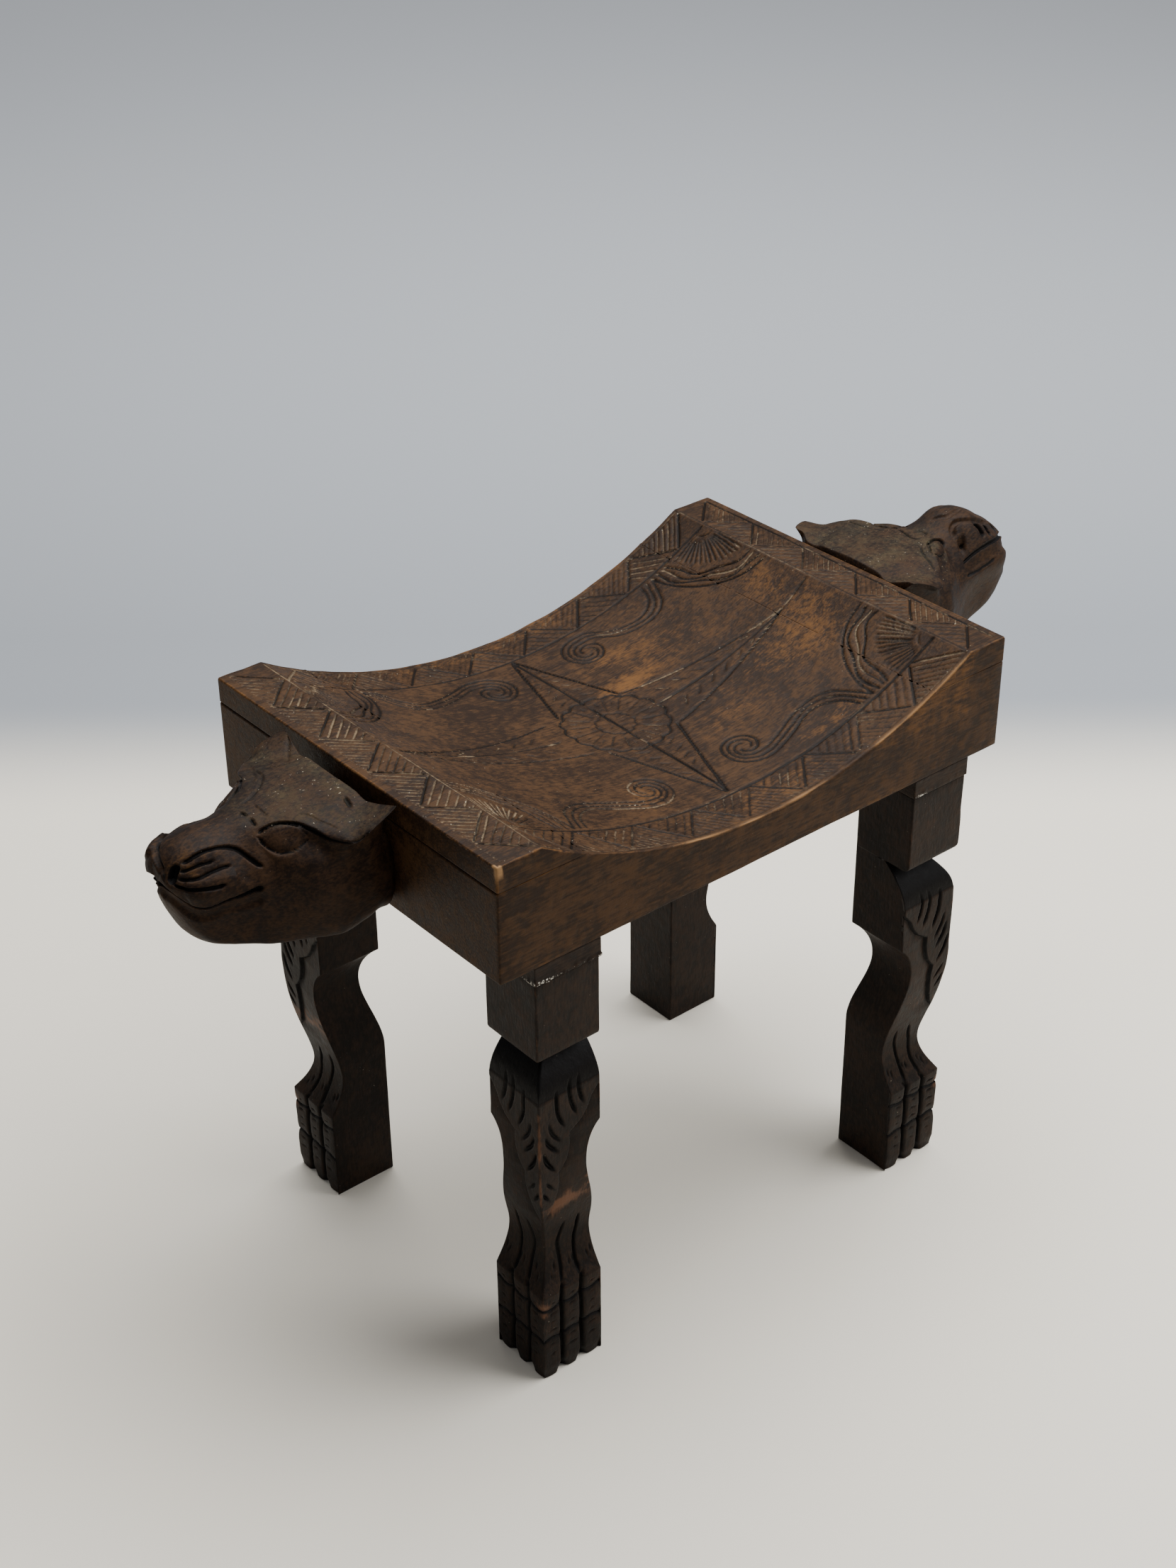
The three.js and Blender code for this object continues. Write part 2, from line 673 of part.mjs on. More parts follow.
// Legs, each with its pad and dowel
const leg = makeLeg();
const pad = makePad();
const legDowel = roundBar(legDowelDiameter, legDowelLength, dowelBevel);
legDowel.translate(0, 0, legDowelBottom);
for (const place of legPlaces) {
  const corner = new THREE.Group();
  corner.position.set(place.x, place.y, 0);
  corner.rotation.z = (place.turns * Math.PI) / 2;
  addMesh(corner, `leg_${place.name}`, leg, darkWood);
  addMesh(corner, `leg_pad_${place.name}`, pad, darkWood);
  addMesh(corner, `leg_dowel_${place.name}`, legDowel, rawWood);
  stool.add(corner);
}

// Heads, each with its two dowels
const headDowel = roundBar(headDowelDiameter, headDowelLength, dowelBevel);
headDowel.rotateY(Math.PI / 2);
for (const [name, turns, shift] of [
  [
    "right",
    0,
    {
      lowerStretch: muzzleStretch,
      upperStretch: noseStretch,
      lift: muzzleLift,
      crown: crownLift,
      ear: rightEarLift,
      back: 1,
    },
  ],
  ["left", 2, { lowerStretch: 0, upperStretch: 0, lift: 0, crown: 0, ear: 0, back: -1 }],
]) {
  const end = new THREE.Group();
  end.rotation.z = (turns * Math.PI) / 2;
  const head = addMesh(end, `head_${name}`, makeHead(shift), headWood);
  head.position.x = seatLength / 2 + glueGap;
  headDowelPlaces.forEach((y, i) => {
    const dowel = addMesh(end, `head_dowel_${name}_${i + 1}`, headDowel, rawWood);
    dowel.position.set(headDowelStart, y, headDowelHeight);
  });
  stool.add(end);
}

// The origin goes under the middle of the whole stool
const reach = new THREE.Box3().setFromObject(stool);
stool.position.x = -(reach.min.x + reach.max.x) / 2;

export default stool;
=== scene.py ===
"""Carved hardwood stool: a dished seat with a cat's head at each end, on four clawed legs.

Every wooden piece is a closed skin worked out with numpy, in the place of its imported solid. The
skin carries the carving: each gouge stroke is cut into the points, and the cut is also kept as a
mark on them, so that the finish can darken it. Lengths inside the classes are millimetres, with
X and Y counted from the middle of the seat and Z from the floor.
"""

import logging
import math
from dataclasses import dataclass, field
from enum import Enum
from itertools import product
from typing import Iterable, Sequence

import bpy
import numpy as np
from mathutils import Matrix, Vector


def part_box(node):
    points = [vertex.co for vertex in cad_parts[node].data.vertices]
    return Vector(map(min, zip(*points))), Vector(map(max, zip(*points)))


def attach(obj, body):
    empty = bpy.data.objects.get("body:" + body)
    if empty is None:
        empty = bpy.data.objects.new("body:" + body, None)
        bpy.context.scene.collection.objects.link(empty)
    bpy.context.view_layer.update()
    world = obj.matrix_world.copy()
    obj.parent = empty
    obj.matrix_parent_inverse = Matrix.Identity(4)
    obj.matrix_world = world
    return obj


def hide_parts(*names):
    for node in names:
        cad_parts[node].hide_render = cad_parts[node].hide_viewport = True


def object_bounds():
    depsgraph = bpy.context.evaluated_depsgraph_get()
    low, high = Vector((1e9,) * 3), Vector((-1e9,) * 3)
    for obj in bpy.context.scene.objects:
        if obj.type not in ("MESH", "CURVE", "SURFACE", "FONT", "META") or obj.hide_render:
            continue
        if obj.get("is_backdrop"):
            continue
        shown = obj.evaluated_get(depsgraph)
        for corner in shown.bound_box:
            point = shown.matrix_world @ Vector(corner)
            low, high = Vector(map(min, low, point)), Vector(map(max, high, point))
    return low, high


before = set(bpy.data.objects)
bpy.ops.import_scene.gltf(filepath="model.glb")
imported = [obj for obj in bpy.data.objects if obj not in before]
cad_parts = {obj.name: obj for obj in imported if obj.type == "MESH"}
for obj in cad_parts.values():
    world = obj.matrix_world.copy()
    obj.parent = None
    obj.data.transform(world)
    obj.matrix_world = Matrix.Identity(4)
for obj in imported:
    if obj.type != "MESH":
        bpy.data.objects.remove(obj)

Array = np.ndarray
Corner = tuple[float, float, float]
Pair = tuple[float, float]
CarvedLine = tuple[tuple[Corner, ...], float, float]

MM = 0.001
CAD_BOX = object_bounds()
ROOT = "root"

log = logging.getLogger("stool")


def node_box(node: str) -> tuple[Array, Array]:
    """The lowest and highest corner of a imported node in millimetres, from the middle of the seat.

    Args:
        node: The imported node's name.

    Returns:
        Its lowest and its highest corner.
    """
    low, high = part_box(node)
    shift = np.array([seat_middle(), 0.0, 0.0])
    return np.array(low) / MM - shift, np.array(high) / MM - shift


def seat_middle() -> float:
    """Where the middle of the seat lies along X, in millimetres."""
    low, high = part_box("seat_plank")
    return (low.x + high.x) / 2 / MM


# Noise and small shapes


class HandNoise:
    """Smooth seeded noise, uneven in the way that a hand-held tool leaves wood."""

    CELLS = 24

    def __init__(self, seed: int) -> None:
        """Draws the lattice of random values.

        Args:
            seed: Which noise; the same seed always gives the same noise.
        """
        self.values = np.random.default_rng(seed).random((self.CELLS,) * 3)

    def at(self, points: Array, cell: float | Sequence[float]) -> Array:
        """Noise at points: lattice values blended by a smooth step along each axis.

        Args:
            points: Places, three numbers each.
            cell: Size of a lattice cell, for all axes or for each.

        Returns:
            A value from -1 to 1 for each place.
        """
        place = np.asarray(points, float) / cell
        base = np.floor(place).astype(int)
        part = smooth_step(place - base, 0.0, 1.0)
        total = np.zeros(place.shape[:-1])
        for corner in product((0, 1), repeat=3):
            share = np.prod(np.where(corner, part, 1 - part), axis=-1)
            x, y, z = np.moveaxis((base + corner) % self.CELLS, -1, 0)
            total += share * self.values[x, y, z]
        return 2 * total - 1


def smooth_step(value: Array, start: float, end: float) -> Array:
    """0 before start and 1 after end, with a cubic step between them; it falls if end comes first."""
    part = np.clip((value - start) / (end - start), 0, 1)
    return part * part * (3 - 2 * part)


def bell(value: Array, middle: Array | float, width: float) -> Array:
    """1 at the middle, falling off on both sides as a Gaussian curve of that width."""
    return np.exp(-(((value - middle) / width) ** 2))


def rounding(radius: float, steps: int = 4) -> tuple[Array, Array]:
    """A quarter circle in steps: what falls from the radius to 0, and what rises to the radius."""
    turn = np.linspace(0, np.pi / 2, steps)
    return radius * (1 - np.sin(turn)), radius * (1 - np.cos(turn))


def spokes(angles: Array) -> Array:
    """Unit directions in the plane at the angles."""
    return np.stack([np.cos(angles), np.sin(angles)], -1)


def flowing(points: Iterable[Sequence[float]], step: float = 2.0) -> Array:
    """A smooth line through points: each span is a cubic that leaves and arrives parallel to the
    line between its neighbours.

    Args:
        points: The places that it goes through.
        step: Rough distance between the points of the result.

    Returns:
        The points of the line.
    """
    p = np.array(list(points), float)
    ends = np.concatenate([2 * p[:1] - p[1:2], p, 2 * p[-1:] - p[-2:-1]])
    spans = len(p) - 1
    length = np.linalg.norm(np.diff(p, axis=0), axis=1).sum()
    u = np.linspace(0, spans, max(int(length / step), spans) + 1)
    i = np.minimum(u.astype(int), spans - 1)
    t = (u - i)[:, None]
    a, b, c, d = ends[i], ends[i + 1], ends[i + 2], ends[i + 3]
    curve = 2 * b + (c - a) * t + (2 * a - 5 * b + 4 * c - d) * t**2
    return 0.5 * (curve + (3 * b - a - 3 * c + d) * t**3)


def through(places: Array, values: Array, wanted: Array) -> Array:
    """The curve through values at places that never overshoots them, read at the wanted places.

    Each span is a cubic. Its slope at a place is the weighted harmonic mean of the rises on both
    sides, or nothing where they turn.

    Args:
        places: Where the values stand, rising.
        values: One row for each place.
        wanted: Where to read the curve.

    Returns:
        One row for each wanted place.
    """
    wide = (-1,) + (1,) * (values.ndim - 1)
    span = np.diff(places).reshape(wide)
    rise = np.diff(values, axis=0) / span
    near, far = 2 * span[1:] + span[:-1], span[1:] + 2 * span[:-1]
    with np.errstate(divide="ignore", invalid="ignore"):
        mean = (near + far) / (near / rise[:-1] + far / rise[1:])
    slopes = np.concatenate([rise[:1], np.where(rise[:-1] * rise[1:] > 0, mean, 0.0), rise[-1:]])
    i = np.clip(np.searchsorted(places, wanted, side="right") - 1, 0, len(places) - 2)
    length = span[i]
    t = ((wanted - places[i]) / np.diff(places)[i]).reshape(wide)
    u = 1 - t
    return (
        (1 + 2 * t) * u * u * values[i]
        + t * u * u * length * slopes[i]
        + t * t * (3 - 2 * t) * values[i + 1]
        - t * t * u * length * slopes[i + 1]
    )


# Carving


@dataclass(frozen=True)
class Gouge:
    """A carver's tool: how wide and deep it cuts, and the length over which a cut runs out."""

    width: float
    depth: float
    run_out: float = 5.0


# The veiner's own cut is about 1.3 mm wide. It is drawn wider, so that the mesh can hold it.
FINE_VEINER = Gouge(2.1, 0.9, 4.0)
VEINER = Gouge(2.6, 1.25, 4.0)
PARTING_TOOL = Gouge(3.0, 1.6, 3.0)
SCRIBER = Gouge(2.0, 0.6, 1.0)
HATCHER = Gouge(1.8, 0.75, 3.0)
SPOON_GOUGE = Gouge(3.7, 2.6, 8.0)


@dataclass
class Stroke:
    """One pass of a gouge along a line of straight pieces."""

    line: Array
    gouge: Gouge

    def turned(self, x: float, y: float) -> "Stroke":
        """The same stroke mirrored by the signs x and y."""
        return Stroke(self.line * np.array([x, y]), self.gouge)


def carve(points: Array, strokes: Iterable[Stroke]) -> Array:
    """How deep strokes cut at each point.

    A stroke's section is a trough: full depth along its middle third, with steep sides. Both ends
    fade and narrow over the run-out. Where strokes cross, the deeper one counts.

    Args:
        points: Places on the uncut surface, two or three numbers each.
        strokes: The strokes, with lines of as many numbers.

    Returns:
        The depth at each point.
    """
    depth = np.zeros(len(points))
    for stroke in strokes:
        half = stroke.gouge.width / 2
        low, high = stroke.line.min(0) - half, stroke.line.max(0) + half
        near = np.flatnonzero(((points >= low) & (points <= high)).all(1))
        if near.size == 0:
            continue
        start, span = stroke.line[:-1], np.diff(stroke.line, axis=0)
        length = np.linalg.norm(span, axis=1) + 1e-9
        before = np.concatenate([[0.0], np.cumsum(length)])
        away = points[near][:, None] - start
        part = np.clip((away * span).sum(-1) / length**2, 0, 1)
        distance = np.linalg.norm(away - part[..., None] * span, axis=-1)
        piece = distance.argmin(1)
        rows = np.arange(near.size)
        along = before[piece] + part[rows, piece] * length[piece]
        to_end = np.minimum(along, before[-1] - along)
        fade = smooth_step(to_end, -0.2 * stroke.gouge.run_out, stroke.gouge.run_out)
        trough = smooth_step(1 - distance[rows, piece] / (half * (0.45 + 0.55 * fade)), 0.0, 0.7)
        depth[near] = np.maximum(depth[near], stroke.gouge.depth * fade * trough)
    return depth


class Carver:
    """The hand that draws the strokes: no line is dead straight, no two cuts are the same."""

    # Smallest and largest share of the meant width and depth that a cut gets
    WIDTHS = (0.88, 1.12)
    DEPTHS = (0.75, 1.15)
    # How far apart the places of a straight stroke are, and how far its ends stray
    PIECE = 8
    STRAY = 0.35

    def __init__(self, seed: int) -> None:
        """Starts the carver's own seeded unevenness."""
        self.random = np.random.default_rng(seed)
        self.noise = HandNoise(seed)

    def stroke(self, line: Array, gouge: Gouge, wander: float = 0.5) -> Stroke:
        """A stroke along a line, a little off it and a little deeper or wider than meant.

        Args:
            line: The line that was meant.
            gouge: The tool.
            wander: How far off the line the hand strays.

        Returns:
            The stroke.
        """
        size = line.shape[1]
        where = np.zeros((len(line), 3))
        where[:, :size] = line
        off = [self.noise.at(where + 7.3 * self.random.random() + 31.0 * k, 14.0) for k in range(size)]
        wide, deep = (self.random.uniform(*limits) for limits in (self.WIDTHS, self.DEPTHS))
        tool = Gouge(gouge.width * wide, gouge.depth * deep, gouge.run_out)
        return Stroke(line + wander * np.stack(off, -1), tool)

    def straight(self, start: Sequence[float], end: Sequence[float], gouge: Gouge) -> Stroke:
        """A stroke from start to end, cut into short pieces so that the hand can stray.

        Args:
            start: Where it begins.
            end: Where it ends.
            gouge: The gouge that cuts it.

        Returns:
            The stroke.
        """
        count = max(int(math.dist(start, end) / self.PIECE), 2)
        a, b = np.array([start, end]) + self.random.normal(0, self.STRAY, (2, len(start)))
        return self.stroke(a + (b - a) * np.linspace(0, 1, count + 1)[:, None], gouge)


# Skins


@dataclass
class Skin:
    """Rings of points along a piece, closed at both ends, and the marks that its points carry."""

    points: Array
    marks: dict[str, Array] = field(default_factory=dict)

    CAP_SHARES = (0.985, 0.94, 0.6)

    def capped(self) -> "Skin":
        """The skin with rings shrunk towards the middle on both ends, which keep the ends flat.

        Returns:
            The skin with both ends closed in.
        """
        low, high = (
            [ring.mean(0) + (ring - ring.mean(0)) * share for share in shares]
            for ring, shares in (
                (self.points[0], self.CAP_SHARES[::-1]),
                (self.points[-1], self.CAP_SHARES),
            )
        )
        extra = np.zeros((len(low), self.points.shape[1]))
        marks = {k: np.concatenate([extra, v, extra]) for k, v in self.marks.items()}
        return Skin(np.concatenate([low, self.points, high]), marks)

    def faces(self) -> list[list[int]]:
        """Quads between neighbouring rings, and a fan of triangles over each end.

        Returns:
            The point numbers of each face.
        """
        rows, around = self.points.shape[:2]
        j = np.arange(around)
        k = (j + 1) % around
        ring = np.arange(rows - 1)[:, None] * around
        quads = np.stack([ring + j, ring + k, ring + around + k, ring + around + j], -1)
        last, pole = (rows - 1) * around, rows * around
        near = np.stack([k, j, 0 * j + pole], -1)
        far = np.stack([last + j, last + k, 0 * j + pole + 1], -1)
        return quads.reshape(-1, 4).tolist() + near.tolist() + far.tolist()

    def mesh(self, name: str) -> bpy.types.Mesh:
        """The skin as a mesh in metres, facing outwards.

        Args:
            name: The mesh's name.

        Returns:
            The mesh, with each mark as a point attribute.
        """
        flat = self.points.reshape(-1, 3)
        ends = np.stack([self.points[0].mean(0), self.points[-1].mean(0)])
        place = (np.concatenate([flat, ends]) + [seat_middle(), 0, 0]) * MM
        faces = self.faces()
        quads = np.array(faces[: (len(self.points) - 1) * self.points.shape[1]])
        a, b, c, d = (place[quads[:, i]] - place.mean(0) for i in range(4))
        volume = (np.cross(a, b) * c).sum() + (np.cross(a, c) * d).sum()
        if volume < 0:
            faces = [face[::-1] for face in faces]
        mesh = bpy.data.meshes.new(name)
        mesh.from_pydata(place.tolist(), [], faces)
        for mark, values in self.marks.items():
            layer = mesh.attributes.new(mark, "FLOAT", "POINT")
            every = np.concatenate([values.ravel(), [values[0].mean(), values[-1].mean()]])
            layer.data.foreach_set("value", every.astype(np.float32))
        mesh.shade_smooth()
        mesh.update()
        return mesh


@dataclass
class SquaredBar:
    """A bar with four sides and rounded arrises: for each row, its low and its high side along U
    and along V.

    Each ring starts at the low end of the upper side and goes on over the high side, the lower
    side and the low side. After each side comes a quarter circle.
    """

    u: tuple[Array, Array]
    v: tuple[Array, Array]
    arris: Array
    sides: tuple[Array, ...]
    arc_steps: int = 2

    # Which way each side faces. It runs the way that the next one faces.
    FACING = np.array([(0, 1), (1, 0), (0, -1), (-1, 0), (0, 1)], float)

    def rings(self) -> tuple[Array, Array]:
        """The rings, and the directions that their points face.

        Returns:
            Points as rows, around, 2, and normals as around, 2.
        """
        order = ((0, 1), (1, 1), (1, 0), (0, 0), (0, 1))
        corners = [np.stack([self.u[i], self.v[j]], -1) for i, j in order]
        quarter = np.linspace(0, np.pi / 2, self.arc_steps + 2)[1:-1, None]
        points, normals = [], []
        for k, share in enumerate(self.sides):
            normal, tangent = self.FACING[k : k + 2]
            before, after = self.arris[:, k - 1, None], self.arris[:, k, None]
            first, last = corners[k] + before * tangent, corners[k + 1] - after * tangent
            arc = np.cos(quarter) * normal + np.sin(quarter) * tangent
            points.append(first[:, None] + (last - first)[:, None] * share[:, None])
            points.append((last - after * normal)[:, None] + after[..., None] * arc)
            normals += [np.tile(normal, (len(share), 1)), arc]
        return np.concatenate(points, 1), np.concatenate(normals)

    def upright(self, z: Array) -> tuple[Array, Array]:
        """The points with each ring at its height, and the directions that they face."""
        rings, normals = self.rings()
        return np.concatenate([rings, np.repeat(z[:, None, None], rings.shape[1], 1)], -1), normals


def graded(count: int) -> Array:
    """Shares from 0 to 1, closer together near both ends."""
    return 0.5 - 0.5 * np.cos(np.linspace(0, np.pi, count))


def grid_normals(points: Array) -> Array:
    """Unit normals of closed rings: the cross product of the steps along and around.

    Args:
        points: The points of the rings, ring by ring.

    Returns:
        A unit normal at each point.
    """
    along = np.gradient(points, axis=0)
    around = np.roll(points, -1, 1) - np.roll(points, 1, 1)
    normal = np.cross(around, along)
    return normal / (np.linalg.norm(normal, axis=-1, keepdims=True) + 1e-9)


# Finishes


def linear(colour: str) -> tuple[float, float, float, float]:
    """A colour written as sRGB hex, as the linear values that the shaders take."""
    parts = [int(colour[i : i + 2], 16) / 255 for i in (1, 3, 5)]
    return (*[c / 12.92 if c <= 0.04045 else ((c + 0.055) / 1.055) ** 2.4 for c in parts], 1.0)


def per_metre(size: float) -> float:
    """The scale of a pattern whose features are a size in millimetres."""
    return 1 / (size * MM)


NOISE, RAMP, BLEND = "ShaderNodeTexNoise", "ShaderNodeMapRange", "ShaderNodeMix"
MATH, BUMP, MAPPING = "ShaderNodeMath", "ShaderNodeBump", "ShaderNodeMapping"


def add_node(
    tree: bpy.types.NodeTree,
    kind: str,
    inputs: dict[str | int, object] | None = None,
    output: str | int = 0,
    **settings: object,
) -> bpy.types.NodeSocket:
    """Adds a node with its settings and links.

    Args:
        tree: The node tree that it goes into.
        kind: The node's type.
        inputs: For each input's name or number, a value or the socket that feeds it.
        output: Name or number of the output that is wanted.
        **settings: The node's own settings.

    Returns:
        That output.
    """
    node = tree.nodes.new(kind)
    for name, value in settings.items():
        setattr(node, name, value)
    feed(node.inputs, inputs or {})
    return node.outputs[output]


def feed(sockets: bpy.types.NodeInputs, inputs: dict[str | int, object]) -> None:
    """Gives each named input its value, or links it to the socket that feeds it.

    Args:
        sockets: The inputs of a node.
        inputs: A value or an output socket for each input.
    """
    for key, value in inputs.items():
        if isinstance(value, bpy.types.NodeSocket):
            sockets[key].id_data.links.new(value, sockets[key])
        else:
            sockets[key].default_value = value


def new_finish(
    name: str,
) -> tuple[bpy.types.Material, bpy.types.NodeTree, bpy.types.NodeInputs, bpy.types.NodeSocket]:
    """A new material, its node tree, its shader's inputs and its Object coordinates.

    Args:
        name: The finish's name.

    Returns:
        The four, in this order.
    """
    material = bpy.data.materials.new(name)
    material.use_nodes = True
    tree = material.node_tree
    place = add_node(tree, "ShaderNodeTexCoord", output="Object")
    return material, tree, tree.nodes["Principled BSDF"].inputs, place


class Grain(Enum):
    """Which way the wood's fibres run, as the stretch of the grain pattern on each axis."""

    ALONG_SEAT = (0.14, 1.0, 1.0)
    ALONG_HEAD = (0.45, 1.0, 1.0)
    UPRIGHT = (1.0, 1.0, 0.22)


@dataclass(frozen=True)
class CarvedHardwood:
    """Tropical hardwood cut with gouges, stained dark, waxed and worn.

    The stain lies in blotches, sinks darkest into the cuts and is rubbed through to gold on the
    arrises and where hands and clothes polish it. Wax gives it a soft sheen, and dust greys it
    where nobody wipes. The old wax is worn thin over open pores and mirrors little of the sky, so
    the index of refraction is low.
    """

    name: str
    grain: Grain
    deep: str
    brown: str
    rubbed: str
    cut: str
    dust: str
    crumbs: str = "#968c7a"
    glue: str = "#b9b5ab"
    bare: str = "#8a6a48"
    blotch: float = 55.0
    mottle: float = 7.0
    fibre: float = 1.6
    speck: float = 3.5
    crumb: float = 1.9
    grit: float = 2.2
    gloss: float = 0.46
    matt: float = 0.66
    ior: float = 1.4

    def build(self) -> bpy.types.Material:
        """The finish as a material, on Object coordinates and the marks of the carving.

        Returns:
            The material.
        """
        material, tree, shader, place = new_finish(self.name)
        marks = {
            mark: add_node(tree, "ShaderNodeAttribute", output="Fac", attribute_name=mark)
            for mark in ("cut", "wear", "dust", "glue", "chip")
        }
        along = add_node(tree, MAPPING, {"Vector": place, "Scale": self.grain.value})
        # Stain blotches as broad as a hand, broken up by mottling and by streaks along the fibres;
        # then the dust's fine specks and crumbs, and the grit of dried glue
        blotch, mottle, fibre, speck, crumb, grit = (
            add_node(tree, NOISE, {0: where, "Scale": per_metre(size), "Detail": fine, "Roughness": rough})
            for where, size, fine, rough in (
                (place, self.blotch, 5.0, 0.62),
                (place, self.mottle, 4.0, 0.65),
                (along, self.fibre, 3.0, 0.6),
                (place, self.speck, 5.0, 0.75),
                (place, self.crumb, 2.0, 0.5),
                (place, self.grit, 4.0, 0.7),
            )
        )
        tone = add_node(tree, MATH, {0: blotch, 1: add_node(tree, MATH, {0: mottle, 1: fibre})})
        # A mark says how much of a layer there is, and a pattern breaks its edge
        worn, crumbly, gritty = (
            add_node(tree, MATH, {0: marks[mark], 1: weight, 2: pattern}, operation="MULTIPLY_ADD")
            for mark, weight, pattern in (("wear", 1.15, tone), ("dust", 0.09, crumb), ("glue", 0.5, grit))
        )
        dusty = add_node(tree, MATH, {0: marks["dust"], 1: speck}, operation="MULTIPLY")
        # Each layer starts to show at the first value and reaches its greatest share at the second
        stain, rubbed, cut, film, crumbs, specks = (
            add_node(tree, RAMP, {0: value, 1: first, 2: full, 4: most}, interpolation_type=step)
            for step, value, first, full, most in (
                ("SMOOTHSTEP", tone, 1.26, 1.78, 1.0),
                ("SMOOTHSTEP", worn, 1.85, 2.7, 1.0),
                ("LINEAR", marks["cut"], 0.18, 0.62, 1.0),
                ("SMOOTHSTEP", dusty, 0.2, 0.75, 0.6),
                ("LINEAR", crumbly, 0.77, 0.83, 0.7),
                ("LINEAR", gritty, 1.0, 1.07, 1.0),
            )
        )
        colour = linear(self.deep)
        for share, layer in (
            (stain, self.brown),
            (rubbed, self.rubbed),
            (cut, self.cut),
            (film, self.dust),
            (crumbs, self.crumbs),
            (specks, self.glue),
            (marks["chip"], self.bare),
        ):
            colour = add_node(tree, BLEND, {0: share, 6: colour, 7: linear(layer)}, 2, data_type="RGBA")
        polish = add_node(tree, MATH, {0: mottle, 1: film})
        rough = add_node(tree, RAMP, {0: polish, 1: 0.3, 2: 0.9, 3: self.gloss, 4: self.matt})
        pores = add_node(tree, BUMP, {"Height": fibre, "Distance": 0.0005, "Strength": 0.45})
        relief = {"Height": mottle, "Distance": 0.0009, "Strength": 0.5, "Normal": pores}
        bump = add_node(tree, BUMP, relief)
        feed(shader, {"Base Color": colour, "Roughness": rough, "Normal": bump, "IOR": self.ior})
        return material


@dataclass(frozen=True)
class TurnedDowel:
    """Bare hardwood turned to a rod: pale, matt, with fine rings left by the tool."""

    name: str = "turned_hardwood"
    pale: str = "#b89468"
    dark: str = "#94724a"

    def build(self) -> bpy.types.Material:
        """The finish as a material on Object coordinates.

        Returns:
            The material.
        """
        material, tree, shader, place = new_finish(self.name)
        along = add_node(tree, MAPPING, {"Vector": place, "Scale": Grain.UPRIGHT.value})
        fibre = add_node(tree, NOISE, {"Vector": along, "Scale": per_metre(1.5), "Detail": 4.0})
        shades = {0: fibre, 6: linear(self.dark), 7: linear(self.pale)}
        colour = add_node(tree, BLEND, shades, 2, data_type="RGBA")
        bump = add_node(tree, BUMP, {"Height": fibre, "Distance": 0.0003, "Strength": 0.4})
        feed(shader, {"Base Color": colour, "Roughness": 0.75, "Normal": bump})
        return material


# The seat's dust colour also paints the sheen on the top of the left end
SEAT_WOOD = CarvedHardwood(
    "waxed_stained_hardwood_seat", Grain.ALONG_SEAT, deep="#1e130b", brown="#3a2716",
    rubbed="#573a1d", cut="#0d0704", dust="#7c6a53", ior=1.17,
)
HEAD_WOOD = CarvedHardwood(
    "dusty_stained_hardwood_head", Grain.ALONG_HEAD, deep="#130b07", brown="#2c1d11",
    rubbed="#4a3217", cut="#040202", dust="#45402f", blotch=45.0, gloss=0.5, matt=0.72, ior=1.17,
)
# Its cut colour also paints the shade on the bevel under the block and the shadow line along the wing's
# outline
LEG_WOOD = CarvedHardwood(
    "dark_stained_hardwood_leg", Grain.UPRIGHT, deep="#0f0a07", brown="#231810",
    rubbed="#553a29", cut="#030202", dust="#3a3229", blotch=45.0, ior=1.18,
)
PAD_WOOD = CarvedHardwood(
    "glued_stained_hardwood_pad", Grain.ALONG_SEAT, deep="#140d09", brown="#291d14",
    rubbed="#5a3e26", cut="#050403", dust="#3a3229", blotch=30.0, ior=1.18,
)


def new_object(name: str, data: bpy.types.ID) -> bpy.types.Object:
    """A new object in the scene, made of the data.

    Args:
        name: Its name.
        data: What it is made of.

    Returns:
        The object.
    """
    made = bpy.data.objects.new(name, data)
    bpy.context.scene.collection.objects.link(made)
    return made


def place_piece(node: str, skin: Skin, material: bpy.types.Material) -> None:
    """Makes a finished piece, which rides on the stool in its node's stead.

    Args:
        node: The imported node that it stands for.
        skin: Its skin.
        material: Its finish.
    """
    name = f"{node}_wood"
    mesh = skin.mesh(name)
    mesh.materials.append(material)
    piece = new_object(name, mesh)
    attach(piece, ROOT)
    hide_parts(node)
    log.info("%s: %d faces", name, len(mesh.polygons))


# Seat


